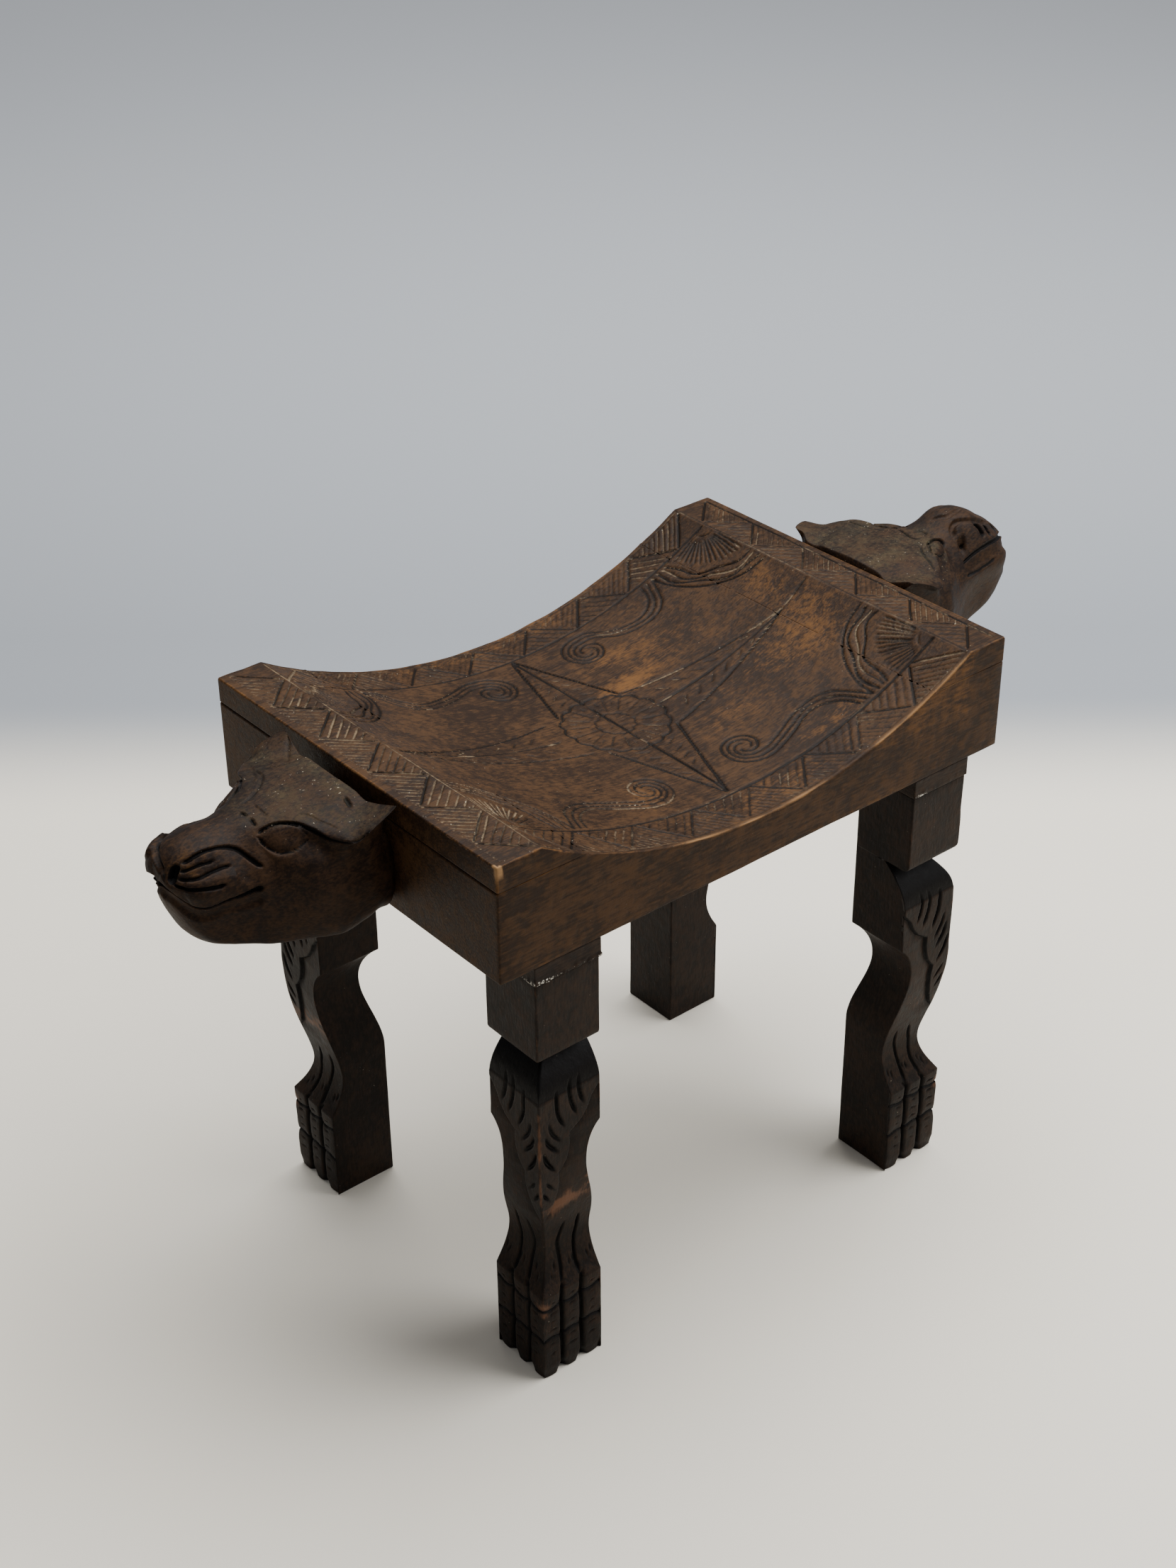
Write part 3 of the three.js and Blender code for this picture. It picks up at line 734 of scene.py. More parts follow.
@dataclass
class SeatOrnament:
    """The strokes on top of the seat, drawn in plan.

    A rosette lies in the middle, with a long ray to each side. A spiral with a wave for its tail
    fills each quarter, a fan each corner, and a zigzag of hatched triangles the border.
    """

    carver: Carver
    border_inner: float = 124.0
    border_outer: float = 155.0
    crease: float = 196.2
    end_line: float = 225.6
    zigzag_pitch: float = 54.0
    hatch_lines: int = 6
    fine_lines: int = 9
    prick: float = 3.1
    rosette_radius: float = 40.5
    rosette_middle: Pair = (0.0, 1.0)
    petals: int = 16
    scallop: float = 2.8
    eye_radius: float = 13.6
    eye_scallop: float = 1.6
    eye_lines: int = 7
    spiral_radius: float = 21.7
    spiral_pitch: float = 14.0

    # The rosette's lines: where they start and end, between the petals and inside them, and its eye's
    PETAL_LINES = ((17.0, 37.0), (26.0, 34.5))
    EYE_LINES = ((4, 9.5),)
    # Where along a ray its dashes lie, and the fans' corner, insets of the arcs and straight lines
    DASHES = np.linspace(0.14, 0.8, 7)
    FAN_CORNER = np.array([195.5, -122.3])
    FAN_INSETS = (0.0, 4.5, 9.0, 14.0)
    FAN_LINES = np.linspace(0.06, 0.94, 14)
    # Each quarter's signs of X and Y, and its spiral's centre before it is mirrored
    QUARTERS = ((1, -1, (46, -86)), (1, 1, (51, -94)), (-1, 1, (40.5, -91)), (-1, -1, (47, -86)))
    # The rays: tip, the two ends of the base and the tool. The two across the seat are cut deeper.
    RAYS = (
        ((0, 124), (-29, 31), (29, 31), PARTING_TOOL),
        ((-1, -121), (-32, -27), (33, -27), PARTING_TOOL),
        ((-194, -1), (-42, 28), (-40, -24), VEINER),
        ((167, 2), (31, 31), (34, -29), VEINER),
    )

    def strokes(self) -> list[Stroke]:
        """All strokes of the seat.

        Returns:
            The strokes in the order of carving.
        """
        made = self.borders() + self.rosette()
        for tip, left, right, gouge in self.RAYS:
            made += self.ray(*(np.array(p, float) for p in (tip, left, right)), gouge)
        made.append(self.carver.straight((167, 2), (195, 6), VEINER))
        made.append(self.carver.straight((0, 30), (-0.5, -28), PARTING_TOOL))
        # Each spiral and fan is drawn with X above and Y below zero, then mirrored into its quarter
        for x, y, centre in self.QUARTERS:
            made += [s.turned(x, -y) for s in self.spiral(np.array(centre)) + self.fan()]
        return made

    def band(self, start: Array, along: Array, across: Array, length: float) -> list[Stroke]:
        """A zigzag of triangles, each hatched parallel to its second side.

        Args:
            start: The band's first inner corner.
            along: Unit direction that the band runs in.
            across: From its inner to its outer edge.
            length: How long it is.

        Returns:
            Its strokes.
        """
        made = []
        count = round(2 * length / self.zigzag_pitch)
        half = length / count
        for i in range(count):
            up = i % 2 == 0
            foot, tip = (start, across) if up else (start + across, -across)
            left = foot + along * half * i
            apex = left + along * half + tip
            made.append(self.carver.straight(left, apex, VEINER))
            if i + 2 > count:
                continue
            lines, gouge = (self.hatch_lines, FINE_VEINER) if up else (self.fine_lines, HATCHER)
            for j in range(1, lines + 1):
                share = j / (lines + 1)
                ends = left + (apex - left) * share, left + along * 2 * half * share
                made.append(self.carver.straight(*ends[:: 1 if up else -1], gouge))
        return made

    def borders(self) -> list[Stroke]:
        """The four hatched bands and the lines that frame them.

        Returns:
            Their strokes.
        """
        straight = self.carver.straight
        inner, outer, reach, line = self.border_inner, self.border_outer, self.crease, self.end_line
        x, y = np.eye(2)
        made = []
        for s in (-1, 1):
            made += self.band(s * inner * y - reach * x, x, s * (outer - inner) * y, 2 * reach)
            made.append(straight((-reach, s * inner), (reach, s * inner), VEINER))
            made.append(straight((-reach, s * outer), (reach, s * outer), SCRIBER))
            ends = s * (line - reach - 1) * x
            made += self.band(s * (reach + 1) * x - outer * y, y, ends, 2 * outer)
            made.append(straight((s * reach, -outer), (s * reach, outer), SCRIBER))
        made.append(straight((line, -outer), (line, outer), VEINER))
        # The left end's line is pricked, not drawn
        pricks = np.arange(-outer, outer, self.prick)
        return made + [straight((-line, p), (-line, p + 1.9), SCRIBER) for p in pricks]

    def rosette(self) -> list[Stroke]:
        """A flower: scalloped rim and eye, with a line between petals and short ones inside.

        Returns:
            Its strokes.
        """
        middle = np.array(self.rosette_middle)
        turn = np.linspace(0, 2 * np.pi, 181)
        petals = self.scallop * np.abs(np.sin(self.petals * turn / 2))
        rim = self.rosette_radius - self.scallop + petals
        eye = self.eye_radius + self.eye_scallop * np.abs(np.sin(6 * turn))
        made = [
            self.carver.stroke(middle + radius[:, None] * spokes(turn), gouge)
            for radius, gouge in ((rim, VEINER), (eye, FINE_VEINER))
        ]
        for count, reaches in ((2 * self.petals, self.PETAL_LINES), (self.eye_lines, self.EYE_LINES)):
            for i, ray in enumerate(spokes(2 * np.pi * np.arange(count) / count)):
                start, end = (middle + reach * ray for reach in reaches[i % len(reaches)])
                made.append(self.carver.straight(start, end, FINE_VEINER))
        return made

    def ray(self, tip: Array, left: Array, right: Array, gouge: Gouge) -> list[Stroke]:
        """A long triangle from the rosette: two edges, a centre line and dashes towards its tip.

        Args:
            tip: Its tip.
            left: One end of its base.
            right: The other end.
            gouge: The tool for edges and centre line.

        Returns:
            Its strokes.
        """
        foot = (left + right) / 2
        axis = tip - foot
        made = [self.carver.straight(tip, end, gouge) for end in (left, right, foot + 0.05 * axis)]
        for share, side in product(self.DASHES, (left, right)):
            middle = foot + axis * share
            half = side + (tip - side) * share - middle
            start, end = middle + half * 0.72, middle + half * 0.22 + 0.075 * axis
            made.append(self.carver.straight(start, end, FINE_VEINER))
        return made

    def spiral(self, centre: Array) -> list[Stroke]:
        """Three arms that wind into the centre, whose lines run on as a wave to the border.

        An arm's radius falls evenly with the angle.

        Args:
            centre: The spiral's centre.

        Returns:
            Its strokes.
        """
        made = []
        for arm in range(3):
            gap = arm * self.spiral_pitch / 3
            radius = self.spiral_radius - gap
            turns = (radius - 3.5) / self.spiral_pitch
            angle = np.linspace(0, 2 * np.pi * turns, int(20 * turns) + 8)
            r = radius - self.spiral_pitch * angle / (2 * np.pi)
            coil = centre + np.stack([-r * np.sin(angle), -r * np.cos(angle)], -1)
            wave = (
                coil[0],
                centre + [14, -20.5 + gap],
                (80.0, -100 + 1.05 * gap),
                (103.0 + 0.3 * gap, -94 + gap),
                (120.0 + 0.5 * gap, -103 + 1.1 * gap),
                (128.0 + 1.2 * gap, -121.5),
            )
            line = np.concatenate([flowing(wave, 3.0)[::-1], coil[1:]])
            made.append(self.carver.stroke(line, VEINER, 0.8))
        return made

    def fan(self) -> list[Stroke]:
        """Wavy quarter arcs round a corner of the dish, with a fan of straight lines inside.

        Returns:
            Its strokes.
        """
        corner = self.FAN_CORNER
        angle = np.linspace(np.pi / 2, np.pi, 40)
        spoke = spokes(angle)
        made = []
        for k, inset in enumerate(self.FAN_INSETS):
            wave = 1.5 * np.sin(9 * angle + 1.3 * k) if k else 0 * angle
            radii = np.stack([57 - inset + wave, 70.7 - 1.15 * inset + wave], -1)
            made.append(self.carver.stroke(corner + spoke * radii, VEINER))
        for ray in spokes(np.pi / 2 * (1 + self.FAN_LINES)):
            start, end = corner + 13 * ray, corner + ray * [36.5, 47.0]
            made.append(self.carver.straight(start, end, FINE_VEINER))
        made.append(self.carver.stroke(corner + 10.5 * spoke[4:-4:3], FINE_VEINER))
        return made


@dataclass
class Seat:
    """The seat plank with its dish, and the two end boards that the dish cuts into."""

    dish_depth: float = 55.0
    ledge_width: float = 36.0
    feather_edge: float = 0.25
    chip: float = 4.5
    plank_step: float = 1.14
    board_step: float = 0.75
    plank_arris: float = 1.4
    board_arris: float = 1.3
    top_wear: float = 0.85
    low_wear: float = 0.6
    side_wear: float = 0.4
    filling: float = 1.65
    strokes: list[Stroke] = field(default_factory=list)
    noise: HandNoise = field(default_factory=lambda: HandNoise(11))

    # Rubbed places of the dish: X, Y, half length, half width, strength
    RUBBED = (
        (41, 37, 26, 12, 0.9), (101, 55, 60, 32, 0.4), (178, 28, 20, 50, 0.45), (134, -21, 60, 24, 0.5),
        (160, -45, 36, 22, 0.4), (60, -52, 45, 20, 0.35), (104, -114, 44, 12, 0.6), (46, 74, 30, 12, 0.4),
        (-52, -96, 20, 22, 0.6), (-92, -40, 62, 20, 0.35), (-60, 72, 46, 20, 0.3), (-36, 12, 40, 30, 0.25),
        (20, -140, 90, 16, 0.5), (0, 150, 120, 10, 0.5), (148, 68, 24, 16, -0.5), (-120, -55, 40, 16, -0.35),
        (-20, -100, 30, 12, -0.2), (150, 105, 34, 16, -0.3),
    )

    def __post_init__(self) -> None:
        """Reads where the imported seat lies."""
        self.low, self.high = node_box("seat_plank")
        self.board_low, self.board_high = node_box("end_board_right")
        self.half_length, self.half_width = self.high[:2]
        self.ledge = self.half_length - self.ledge_width
        self.dish_radius = (self.ledge**2 + self.dish_depth**2) / (2 * self.dish_depth)
        self.dish_centre = self.board_high[2] - self.dish_depth + self.dish_radius
        self.joint = self.board_low[2] + self.feather_edge
        # Half the length of the dish where it meets the joint
        self.reach = math.sqrt(self.dish_radius**2 - (self.dish_centre - self.joint) ** 2)

    def dish(self, x: Array) -> Array:
        """Height of the dish: a circle's lower arc about a centre high above the seat."""
        return self.dish_centre - np.sqrt(self.dish_radius**2 - x**2)

    def wear(self, x: Array, y: Array) -> Array:
        """How much the stain is rubbed away at places of the top.

        Args:
            x: Places along the seat.
            y: Places across it.

        Returns:
            The wear at each place.
        """
        total = np.zeros(x.shape)
        for px, py, rx, ry, strength in self.RUBBED:
            total += strength * np.exp(-(((x - px) / rx) ** 2 + ((y - py) / ry) ** 2))
        return total

    def bar(
        self, shrink: Array, under: Array | float, top: Array, arris: Array, step: float, flank: int
    ) -> SquaredBar:
        """The sections of a piece as wide as the seat.

        Args:
            shrink: How far each section is drawn in at the piece's ends.
            under: Height of the lower side.
            top: Height of the upper side.
            arris: Radius of each arris, starting with the upper one at high Y.
            step: Distance between points across the top.
            flank: Number of points on each flank.

        Returns:
            The sections, Y across and Z up.
        """
        wide = self.half_width - shrink
        across = np.linspace(0, 1, int(2 * self.half_width / step))
        sides = (across, graded(flank), graded(8), graded(flank))
        return SquaredBar((-wide, wide), (under + shrink, top - shrink), arris, sides)

    def dressed(self, along: Array, bar: SquaredBar) -> Skin:
        """Lays a bar's rings along X, cuts the ornament into its top and marks its wear.

        Args:
            along: Place of each ring.
            bar: The sections.

        Returns:
            The skin.
        """
        rings, normals = bar.rings()
        points = np.concatenate([np.repeat(along[:, None, None], rings.shape[1], 1), rings], -1)
        x, y, z = np.moveaxis(points, -1, 0)
        up = normals[:, 1]
        upward = np.clip(up, 0, 1) ** 2
        on_side = np.abs(normals[:, 0]) > 0.9
        on_arris = np.clip((1 - np.abs(normals).max(1)) / 0.29, 0, 1)
        depth = carve(points[..., :2].reshape(-1, 2), self.strokes).reshape(x.shape) * (upward > 0.999)
        uneven = 0.16 + 0.11 * self.noise.at(points, 34.0) + 0.05 * self.noise.at(points, 6.0)
        ragged = smooth_step(self.noise.at(points, (16.0, 60.0, 60.0)), -0.55, 0.5)
        # The dish, the upper arrises, the lower ones and the flanks are rubbed, each in its own way
        edge = bell(self.half_width - np.abs(y), 0, 2.2) * upward
        top_edge = on_arris * (up > 0) + edge
        low_edge = on_arris * (up < 0) + 0.5 * bell(z, self.low[2] + 1, 3.0) * on_side
        flank = smooth_step(x, -60, 200) * smooth_step(z, 375, 425)
        wear = self.wear(x, y) * upward * (np.abs(y) < self.half_width)
        wear += top_edge * self.top_wear * (0.2 + 0.8 * ragged) + low_edge * self.low_wear * ragged
        wear += self.side_wear * on_side * (0.25 + flank) * ragged
        points[..., 1:] -= normals * (depth + uneven)[..., None]
        # Dust lies on the shoulders of the cuts and fills some of them; a painted sheen greys the top of the
        # left end
        cut = np.clip(depth / VEINER.depth, 0, 1)
        packed = self.noise.at(points, (19.0, 19.0, 60.0)) + 0.3 * smooth_step(np.abs(x), 110, 170)
        filled = self.filling * cut * smooth_step(packed, 0.05, 0.5) * smooth_step(cut, 0.9, 0.74)
        dust = np.maximum(4 * cut * (1 - cut) * (0.55 + 0.45 * self.noise.at(points, 31.0)), filled)
        # Painted reflection: the top of the left end is greyed with the dust colour, as a sheen of the pale
        # backdrop
        dust += 0.25 * upward * smooth_step(-x, 60, 200)
        # Along the front edge the stain is worn through to bare wood
        front = smooth_step(x, -120, -80) * smooth_step(x, 200, 185) * (y < 0)
        bare = (on_arris * (up > 0) + 0.8 * edge) * front * ragged**1.5
        marks = {"cut": cut, "wear": np.clip(wear, 0, 1.3), "dust": dust, "chip": 0.5 * np.clip(bare, 0, 1)}
        return Skin(points, marks)

    def plank(self) -> Skin:
        """The plank's skin: rings along X, close together under the dish.

        Returns:
            The skin.
        """
        near, far = (part[1:] for part in rounding(self.plank_arris))
        inside = np.linspace(-self.reach, self.reach, int(2 * self.reach / self.plank_step))
        outside = np.linspace(self.reach, self.half_length - self.plank_arris, 9)[1:]
        right = np.concatenate([outside, self.half_length - near])
        x = np.concatenate([-right[::-1], inside, right])
        shrink = np.concatenate([far[::-1], np.zeros(len(x) - 2 * len(far)), far])
        dished = np.abs(x) < self.reach
        top = np.where(dished, self.dish(np.clip(x, -self.reach, self.reach)), self.joint)
        under_board = smooth_step(np.abs(x), self.reach + 4, self.reach + 9)
        top -= under_board * (self.joint - self.high[2])
        seats = np.stack([x, 0 * x, top], -1)
        upper = np.where(dished, 1.5 + self.noise.at(seats, 16.0), 0.3)
        lower = 1.1 + 0.5 * self.noise.at(seats + 50, 22.0)
        arris = np.stack([upper, lower, lower, upper], -1)
        bar = self.bar(shrink, self.low[2], top, arris, self.plank_step, 9)
        return self.dressed(x, bar).capped()

    def end_board(self, side: int) -> Skin:
        """An end board's skin: rings along X, down to a thin edge where the dish leaves it.

        Args:
            side: 1 for the right end, -1 for the left.

        Returns:
            The skin.
        """
        near, far = (part[1:] for part in rounding(self.board_arris))
        count = int((self.half_length - self.reach) / self.board_step)
        flat = np.linspace(self.reach, self.half_length - self.board_arris, count)
        x = np.concatenate([flat, self.half_length - near])
        shrink = np.concatenate([0 * flat, far])
        top = np.where(x < self.ledge, self.dish(np.clip(x, 0, self.ledge)), self.board_high[2])
        # The feather edge reaches down into the plank, so that no cut can open the joint
        under = self.board_low[2] - 1.7 * smooth_step(x, self.reach + 7, self.reach + 2)
        most = 0.45 * (top - under)
        seats = np.stack([x, 0 * x, top], -1)
        upper = np.minimum(1.5 + 0.9 * self.noise.at(seats * side, 14.0), most)
        lower = np.minimum(0.3, most)
        arris = np.stack([upper, lower, lower, upper], -1)
        # The left board's rings run the other way
        x, shrink, under, top, arris = (part[::side] for part in (side * x, shrink, under, top, arris))
        skin = self.dressed(x, self.bar(shrink, under, top, arris, self.board_step, 7))
        from_end = self.half_length - np.abs(skin.points[..., 0])
        from_top = self.board_high[2] - skin.points[..., 2]
        from_side = self.half_width - np.abs(skin.points[..., 1])
        rim = (from_end < 1.6) & ((from_top < 2.5) | (from_side < 1.5))
        skin.marks["wear"] = np.where(rim, 0.55, skin.marks["wear"])
        if side < 0:
            # Its front corner is chipped
            away = np.stack([from_end, self.half_width + skin.points[..., 1], 0.3 * from_top], -1)
            gone = self.chip - np.linalg.norm(away, axis=-1) + 1.5 * self.noise.at(skin.points, 3.0)
            chipped = smooth_step(gone, 0.0, 1.0) * (np.abs(away[..., :2]).min(-1) < 1.4)
            skin.marks["chip"] = np.maximum(skin.marks["chip"], 0.8 * chipped)
        return skin.capped()

    def build(self) -> None:
        """Makes the plank and both end boards."""
        wood = SEAT_WOOD.build()
        place_piece("seat_plank", self.plank(), wood)
        for side, name in ((1, "right"), (-1, "left")):
            place_piece(f"end_board_{name}", self.end_board(side), wood)


# Legs


# Each place is a quarter turn further round than the one before
PLACES = ("back_right", "back_left", "front_left", "front_right")


@dataclass
class Leg:
    """A clawed leg: a square billet cut in profile on its two outer and two inner sides.

    S is the distance from the outer corner, on either outer face, and Z the height.
    """

    width: float = 54.0
    paw: float = 78.0
    ankle: Pair = (13.0, 110.5)
    shin_top: float = 199.0
    knee_top: float = 252.0
    notch: Pair = (24.0, 287.0)
    block_arris: float = 5.0
    heel_top: float = 124.0
    hock: Pair = (12.0, 187.0)
    hock_top: float = 215.5
    arris: float = 1.0
    step: float = 0.8
    toes: int = 3
    ground: float = 3.0
    toe_groove: float = 4.8
    knuckle: float = 2.6

    # The wing's outline up the face: S and Z, with a cusp where two feathers meet
    WING = (
        (0, 141), (5.5, 147), (10.5, 156.5), (14.8, 167.5), (17, 178), (16.6, 187), (18.5, 188.5),
        (23.5, 195), (25.8, 202.5), (27, 210), (26.6, 217.5), (29.5, 219), (37.5, 224.5), (43, 232),
        (46.5, 240), (54, 248.5),
    )
    # Feather marks and tendons: S and Z of each one's spots
    FEATHERS = (
        ((35, 262), (35.8, 249), (39.5, 236)), ((27, 262), (27.8, 245), (33, 229.5)),
        ((15.5, 259), (16.6, 240), (22.2, 224)), ((8.8, 234.5), (11.8, 223.5), (19.2, 212.5)),
        ((5.8, 224), (8.8, 214.5), (16.8, 204)), ((3.6, 210.5), (6.8, 200), (13.8, 189)),
        ((5, 184), (8.3, 178), (12.6, 172)), ((2.6, 174), (4.8, 168), (8.2, 162)),
        ((19, 130), (14, 118), (11.5, 109), (15, 92), (18, 79)),
        ((32, 130), (29, 118), (26, 107), (28, 93), (35, 79)),
    )
    # Short cuts over the toes: S and Z of both ends
    SMALL_CUTS = (
        ((21, 96), (24, 88)), ((24, 97), (27, 89)), ((8, 97), (10, 89)),
        ((40, 97), (43, 89)), ((37, 95), (41, 87)), ((6, 92), (8, 85)),
    )
    # Heights over which the wing's ground starts and ends, and its painted shadow line along the outline
    GROUND_FOOT, GROUND_HEAD, RIM = (139, 150), (253, 249), (142, 250)
    # Heights of the cuts on each claw, and of the knuckles
    CLAW_CUTS = (70.5, 60.0, 52.0, 44.5, 31.0, 22.0)
    KNUCKLES = (36.5, 65.0)

    @staticmethod
    def curve(z: Array, *corners: Pair) -> Array:
        """Recess at heights z along a cubic with the four given recess and height pairs.

        Args:
            z: Heights to work it out at.
            corners: The four pairs.

        Returns:
            The recess at each height.
        """
        t = np.linspace(0, 1, 60)[:, None]
        a, b, c, d = np.array(corners, float)
        line = (1 - t) ** 3 * a + 3 * t * (1 - t) ** 2 * b + 3 * t**2 * (1 - t) * c + t**3 * d
        return np.interp(z, line[:, 1], line[:, 0])

    def outer_recess(self, z: Array) -> Array:
        """How far the outer faces lie behind the billet's face at heights z.

        Args:
            z: Heights to work it out at.

        Returns:
            The recess at each height.
        """
        (deep, ankle), (notch, top) = self.ankle, self.notch
        paw, shin, knee = self.paw, self.shin_top, self.knee_top
        rise, fall, slope = ankle - paw, shin - ankle, top - knee
        near = (0.38 * deep, paw + 0.21 * rise), (deep, ankle - 0.4 * rise)
        far = (deep, ankle + 0.18 * fall), (0, shin - 0.5 * fall)
        over = (0, knee + 0.29 * slope), (0.42 * notch, top - 0.31 * slope)
        return np.select(
            [z < paw, z < ankle, z < shin],
            [0 * z, self.curve(z, (0, paw), *near, self.ankle), self.curve(z, self.ankle, *far, (0, shin))],
            self.curve(z, (0, knee), *over, self.notch),
        )

    def inner_recess(self, z: Array) -> Array:
        """How far the inner faces lie behind the billet's face at heights z.

        Args:
            z: Heights to work it out at.

        Returns:
            The recess at each height.
        """
        deep, height = self.hock
        heel, end = self.heel_top, self.hock_top
        calf, rise = height - heel, end - height
        below = (0, heel + 0.36 * calf), (deep, height - 0.33 * calf)
        above = (deep, height + 0.45 * rise), (0.66 * deep, end - 0.21 * rise)
        low, high = self.curve(z, (0, heel), *below, self.hock), self.curve(z, self.hock, *above, (0, end))
        return np.where((z < heel) | (z >= end), 0, np.where(z < height, low, high))

    def rows(self) -> tuple[Array, Array, Array, Array]:
        """Height, outer recess, inner recess and edge rounding of each ring, from the sole up.

        Returns:
            The four, with a value for each ring.
        """
        fall, rise = rounding(self.arris)
        edge, climb = rounding(self.block_arris, 6)
        notch, top = self.notch
        block_top = node_box("leg_back_right")[1][2]
        shaft = np.arange(self.arris + self.step, top - self.step / 2, self.step)
        shaft = np.concatenate([fall[::-1], shaft])
        under = np.linspace(notch, self.block_arris, 8)
        block = np.linspace(top + self.block_arris + 3, block_top - self.arris, 14)
        z = np.concatenate([shaft, 0 * under + top, top + climb[1:], block, block_top - fall[1:]])
        outer, inner, shrink = np.zeros((3, len(z)))
        outer[: len(shaft)], inner[: len(shaft)] = self.outer_recess(shaft), self.inner_recess(shaft)
        outer[len(shaft) : -len(block) - 3] = np.concatenate([under, edge[1:]])
        shrink[:4], shrink[-3:] = rise[::-1], rise[1:]
        return z, outer, inner, shrink

    def relief(self, s: Array, z: Array, carver: Carver) -> tuple[Array, Array]:
        """Depth of the carving on an outer face.

        The ground beside the wing is cut back, deepest at the outline. Below the ankle the toes
        are parted by grooves that open out into notches at the floor, and crossed by knuckle cuts.

        Args:
            s: Distance from the outer corner.
            z: Height.
            carver: Whose hand it is.

        Returns:
            The depth, and how dark each point is painted from 0 to 1: the fresh cuts, painted shade on the
            bevel under the block and a painted shadow line along the wing's outline.
        """
        toe = self.width / self.toes
        strokes = [carver.stroke(flowing(p, 1.5), SPOON_GOUGE, 0.4) for p in self.FEATHERS]
        strokes += [carver.straight(a, b, FINE_VEINER) for a, b in self.SMALL_CUTS]
        for i, height in product(range(self.toes), self.CLAW_CUTS):
            middle, reach = (i + 0.5) * toe, carver.random.uniform(2.5, 5)
            ends = (middle - reach, height), (middle + reach, height + 0.8)
            strokes.append(carver.straight(*ends, FINE_VEINER))
        depth = carve(np.stack([s.ravel(), z.ravel()], -1), strokes).reshape(s.shape)
        dark_share = np.clip(depth / VEINER.depth, 0, 1)
        # The ground beside the wing, and the bevel under the block, which also gets painted shade
        edge, level = np.array(self.WING).T
        beyond = s - np.interp(z, level, edge, left=-9.0, right=60.0)
        ground = self.ground * smooth_step(beyond, 0.0, 1.2) * np.exp(-np.clip(beyond, 0, None) / 9)
        ground *= smooth_step(z, *self.GROUND_FOOT) * smooth_step(z, *self.GROUND_HEAD)
        # Painted shadow: a dark line along the wing's outline, where the step down to the ground would shade
        rim = bell(beyond, 0.8, 1.1) * (z > self.RIM[0]) * (z < self.RIM[1])
        knee = z - self.knee_top
        bevel = smooth_step(knee, 0.5, 2.0)
        ground += 0.6 * bevel * smooth_step(knee, 14, 3)
        # The toes: the grooves between them, their round backs, knuckles and points
        notched = np.clip(1 - z / 9, 0, 1)
        part = np.abs(s / toe - np.round(s / toe)) * toe
        first, last = s < 0.5 * toe, s > self.width - 0.5 * toe
        groove = np.clip(1 - part / (2.6 + 3.2 * notched), 0, 1) * ~(first | last)
        groove *= self.toe_groove + 1.2 * notched
        from_middle = np.abs((s % toe) / toe - 0.5) * 2
        rounded = 1.3 * from_middle**4 * np.select([first, last], [0.35, 0.45], 1.0)
        knuckle = np.zeros(s.shape)
        for height in self.KNUCKLES:
            wave = height + 0.9 * np.sin(2 * np.pi * s / toe + height)
            sharp = self.knuckle * np.clip(1 - np.abs(z - wave) / 1.9, 0, 1)
            knuckle = np.max([knuckle, sharp, 0.9 * bell(z, wave, 4.5)], 0)
        pointed = 2.4 * smooth_step(12 - z, 0, 12) * (0.35 + 0.65 * from_middle**2)
        foot = smooth_step(z, self.paw + 6, self.paw - 1)
        toes = (np.maximum(groove, rounded) + np.maximum(knuckle, pointed)) * foot
        on_toes = foot * np.clip(np.maximum(groove / 3, knuckle / 2), 0, 1)
        # The bevel's share of the dark cut colour is painted shade under the overhanging block
        return np.maximum(depth, ground) + toes, np.max([dark_share, 0.9 * rim, 0.6 * bevel, on_toes], 0)

    def skin(self, turns: int, middle: Array, seed: int) -> Skin:
        """A leg's skin at its place.

        Args:
            turns: Quarter turns that bring its carved corner from +X +Y to its own.
            middle: X and Y of its middle.
            seed: The carver's hand.

        Returns:
            The skin.
        """
        carver = Carver(seed)
        z, outer, inner, shrink = self.rows()
        low, high = inner - self.width / 2 + shrink, self.width / 2 - outer - shrink
        worn = 1.3 + 0.7 * carver.noise.at(np.stack([0 * z, 0 * z, z], -1), 12.0)
        plain = 0 * z + 0.9
        arris = np.stack([worn, plain, plain, plain], -1)
        dense, sparse = np.linspace(0, 1, 66), graded(9)
        bar = SquaredBar((low, high), (low, high), arris, (dense, dense, sparse, sparse))
        points, normals = bar.upright(z)
        x, y, z = np.moveaxis(points.copy(), -1, 0)
        # The two outer faces are carved, with S counted from the corner between them
        facing = np.clip(normals, 0, 1)
        total = facing.sum(1)
        on_v = normals[:, 1] > 0.99
        s = high[:, None] - np.where(on_v, x, y)
        s = np.where((normals > 0.01).all(1), 0.0, s)
        outward = (total > 0.5) & (z < self.notch[1] - 0.5)
        depth, dark_share = (np.where(outward, part, 0) for part in self.relief(s, z, carver))
        uneven = 0.12 + 0.09 * carver.noise.at(points, 26.0) + 0.05 * carver.noise.at(points, 5.0)
        even = facing / np.maximum(total, 1e-6)[:, None]
        push = np.clip(depth + uneven, 0, None)[..., None]
        points[..., :2] -= push * np.where(outward[..., None], even, normals)
